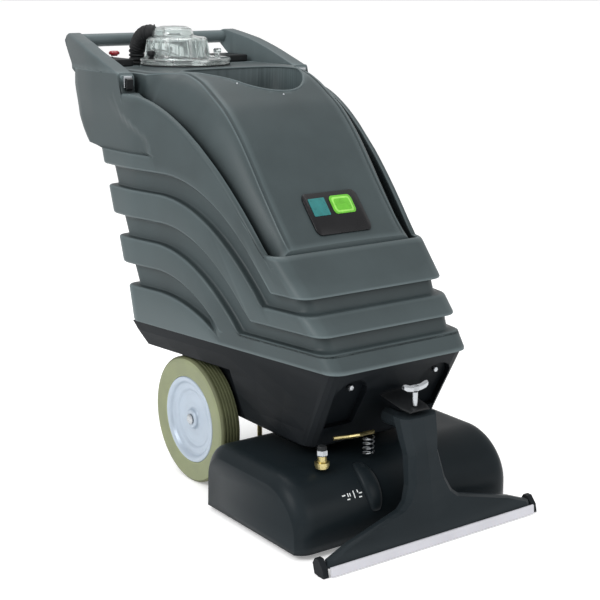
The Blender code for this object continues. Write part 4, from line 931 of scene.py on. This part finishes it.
def deck_profile():
    """Side outline of the deck: back wall, rounded back edge, flat top, long rounded nose, front lip."""
    outline = []
    for k in range(7):
        t = k / 6
        outline.append((DECK_REAR - BACK_LEAN * t, DECK_LOW + (BACK_Z - DECK_LOW) * t))
    for k in range(1, 13):
        a = math.pi / 2 * k / 12
        outline.append((DECK_REAR - BACK_LEAN - BACK_ROUND * (1 - math.cos(a)),
                        BACK_Z + (DECK_HEIGHT - BACK_Z) * math.sin(a)))
    top_rear = DECK_REAR - BACK_LEAN - BACK_ROUND
    top_front = DECK_FRONT + NOSE_DEPTH
    for k in range(1, 8):
        outline.append((top_rear + (top_front - top_rear) * k / 8, DECK_HEIGHT))
    for k in range(17):
        a = math.pi / 2 * k / 16
        outline.append((top_front - NOSE_DEPTH * math.sin(a), NOSE_Z + NOSE_RISE * math.cos(a)))
    outline += [(DECK_FRONT, 0.024), (DECK_FRONT, DECK_LOW)]
    return outline


def deck_ring(share):
    """Section of the deck at a share of its half width, drawn in towards its rounded ends."""
    end = max(0.0, (abs(share) - END_START) / (1 - END_START))
    across = 1 - END_DRAW_IN * end ** 3
    up = 1 - END_DROP * end ** 3
    centre_y = (DECK_FRONT + DECK_REAR) / 2
    ring = []
    for y, z in deck_profile():
        height = DECK_LOW if z < DECK_LOW + 0.0005 else DECK_LOW + (z - DECK_LOW) * up
        ring.append((share * DECK_HALF, centre_y + (y - centre_y) * across, height))
    return ring


def brush_deck():
    """Deck cover: one shell with rounded ends, given its wall thickness."""
    shares = [math.sin(math.pi / 2 * k / 22) for k in range(23)]
    shares = [-s for s in shares[:0:-1]] + shares
    bm = bmesh.new()
    rows = [[bm.verts.new(p) for p in deck_ring(s)] for s in shares]
    for low, high in zip(rows, rows[1:]):
        for i in range(len(low) - 1):
            bm.faces.new((low[i], low[i + 1], high[i + 1], high[i]))
    for row in (rows[0], rows[-1]):
        bm.faces.new(row)
    obj = piece("deck_cover", bm, "deck", "deck", ["brush_deck"], 45)
    wall = obj.modifiers.new("wall", "SOLIDIFY")
    wall.thickness = DECK_WALL
    wall.offset = -1


def on_deck(x, degrees, lift):
    """A point above the deck's rounded front, at an angle down from its top."""
    a = math.radians(degrees)
    return (x, DECK_FRONT + NOSE_DEPTH - (NOSE_DEPTH + lift) * math.sin(a),
            NOSE_Z + (NOSE_RISE + lift) * math.cos(a))


def deck_details():
    """Height scale ticks and the stiffening rib beside the shoe's neck."""
    bm = bmesh.new()
    for x, reach, start, end in ((-0.139, 0.0035, 55, 56.2), (-0.130, 0.0009, 54, 58),
                                 (-0.1255, 0.0009, 54.5, 58), (-0.117, 0.0009, 53, 61),
                                 (-0.108, 0.0009, 53, 56), (-0.103, 0.0035, 56.5, 57.6),
                                 (-0.131, 0.0030, 60, 61.2), (-0.105, 0.0030, 60.5, 61.7)):
        rings = [[on_deck(x - reach, a, lift), on_deck(x + reach, a, lift)] for a, lift in
                 ((start, -0.0005), (start, 0.0005), (end, 0.0005), (end, -0.0005))]
        skin(bm, [[r[0] for r in rings], [r[1] for r in rings]])
    piece("scale_ticks", bm, "print", "deck")
    bm = bmesh.new()
    rings = []
    for k in range(25):
        share = k / 24
        angle = 20 + 62 * share
        swell = math.sin(math.pi * share) ** 0.35
        ring = []
        for step in range(17):
            a = math.pi * step / 16
            across = -0.077 - 0.018 * swell * math.copysign(abs(math.cos(a)) ** 0.6, math.cos(a))
            ring.append(on_deck(across, angle, -0.004 + 0.013 * swell * math.sin(a) ** 0.6))
        rings.append(ring)
    skin(bm, rings)
    piece("deck_rib", bm, "deck", "deck", angle=50)


def shoe_saddle():
    """Curved bracket over the shoe's neck, its long edges turned down."""
    rings = []
    for y in np.linspace(-0.392, -0.468, 12):
        y = float(y)
        top = 0.2520 + 0.20 * (y + 0.390)
        half = 0.0285 - 0.005 * smooth(-0.445 - y, 0.0, 0.023) ** 2
        over = []
        under = []
        for k in range(21):
            u = k / 10 - 1
            droop = 0.0020 * abs(u) ** 4
            over.append((half * u, y, top - droop))
            under.append((half * u * 0.95, y, top - 0.0030 - droop * 0.4))
        rings.append(over + under[::-1])
    bm = bmesh.new()
    skin(bm, rings)
    piece("shoe_saddle", bm, "black", "chassis", ["shoe_bracket"], angle=50)


def well_screws():
    """Small bright screws beside the fill well's near rim."""
    bm = bmesh.new()
    for x, y in ((-0.060, 0.022), (0.022, -0.018)):
        lathe(bm, [(0, 0.0014), (0.0012, 0.0012), (0.0021, 0.0004), (0.0021, -0.0010), (0, -0.0010)],
              (x, y, top_surface(x, y)), steps=20)
    piece("well_screws", bm, "steel", "recovery")


CAD_LOOKS = {
    "base": ["base_chassis", "shoe_end_left", "shoe_end_right"],
    "deck": ["vacuum_shoe"],
    "black": ["control_console", "inlet_cover", "coupling_cap", "fill_strainer", "latch_lever_left",
              "latch_lever_right", "switch_vacuum", "switch_brush", "switch_pump", "shoe_bracket",
              "shoe_duct", "solution_pump"],
    "rubber": ["dome_gasket", "cable_gland", "drive_belt"],
    "steel": ["axle", "axle_cap_left", "axle_cap_right", "brush_motor", "brush_pulley", "brush_shaft",
              "coupling_nut", "float_rod", "height_spring", "latch_plate_left", "latch_plate_right",
              "motor_pulley", "pocket_bolt_left", "pocket_bolt_right", "wing_knob"],
    "brass": ["coupling_body", "spray_bar", "height_lever", "lift_link"],
    "red": ["stop_button", "shutoff_float"],
    "bristle": ["brush_bristles"],
    "grey": ["standpipe", "solution_hose", "vacuum_motor"],
    "white": ["shoe_blade"],
}


def carry_over():
    """Give every CAD node that still shows its finished material."""
    for look, nodes in CAD_LOOKS.items():
        for node in nodes:
            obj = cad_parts[node]
            for slot in obj.material_slots:
                slot.material = MATS[look]


# ---------------------------------------------------------------- studio

def studio():
    """Camera at the product's three-quarter view, a pale floor and three soft lamps."""
    scene = bpy.context.scene
    camera = bpy.data.cameras.new("camera")
    camera.lens = CAMERA_LENS
    camera.sensor_width = 36.0
    camera.clip_end = 50
    eye = bpy.data.objects.new("camera", camera)
    eye.location = CAMERA_PLACE
    eye.rotation_euler = (math.radians(CAMERA_TILT), 0, math.radians(CAMERA_TURN))
    scene.collection.objects.link(eye)
    scene.camera = eye
    bm = bmesh.new()
    bmesh.ops.create_grid(bm, x_segments=2, y_segments=2, size=FLOOR_HALF)
    mesh = bpy.data.meshes.new("floor")
    bm.to_mesh(mesh)
    bm.free()
    floor = bpy.data.objects.new("floor", mesh)
    floor.location.z = -FLOOR_DROP
    mat, _, shader = new_material("floor_paper")
    shader.inputs["Base Color"].default_value = (0.97, 0.97, 0.97, 1)
    shader.inputs["Roughness"].default_value = 0.9
    shader.inputs["Specular IOR Level"].default_value = 0.1
    shader.inputs["Emission Color"].default_value = (1, 1, 1, 1)
    shader.inputs["Emission Strength"].default_value = 0.25
    mesh.materials.append(mat)
    scene.collection.objects.link(floor)
    world = bpy.data.worlds.new("studio")
    world.use_nodes = True
    world.node_tree.nodes["Background"].inputs["Color"].default_value = (1, 1, 1, 1)
    world.node_tree.nodes["Background"].inputs["Strength"].default_value = 0.80
    scene.world = world
    for name, place, target, size, power in (("key", (-2.4, -0.6, 2.0), (0, 0, 0.5), 1.3, 42),
                                             ("top", (0.2, 0.8, 3.0), (0, 0, 0.5), 1.8, 30),
                                             ("fill", (1.2, -3.2, 1.6), (0, 0, 0.4), 1.2, 16)):
        light = bpy.data.lights.new(name, "AREA")
        light.size = size
        light.energy = power
        lamp = bpy.data.objects.new(name, light)
        lamp.location = place
        lamp.rotation_euler = (Vector(target) - Vector(place)).to_track_quat("-Z", "Y").to_euler()
        scene.collection.objects.link(lamp)
    scene.view_settings.view_transform = "Standard"


# ---------------------------------------------------------------- assembly

studio()
solution_tank()
for one_side in (-1, 1):
    arm(one_side)
    wheel(one_side)
grip_bar()
recovery_tank()
badge()
dome_lid()
vacuum_hose()
lid_knobs()
brush_deck()
deck_details()
shoe_saddle()
well_screws()
carry_over()
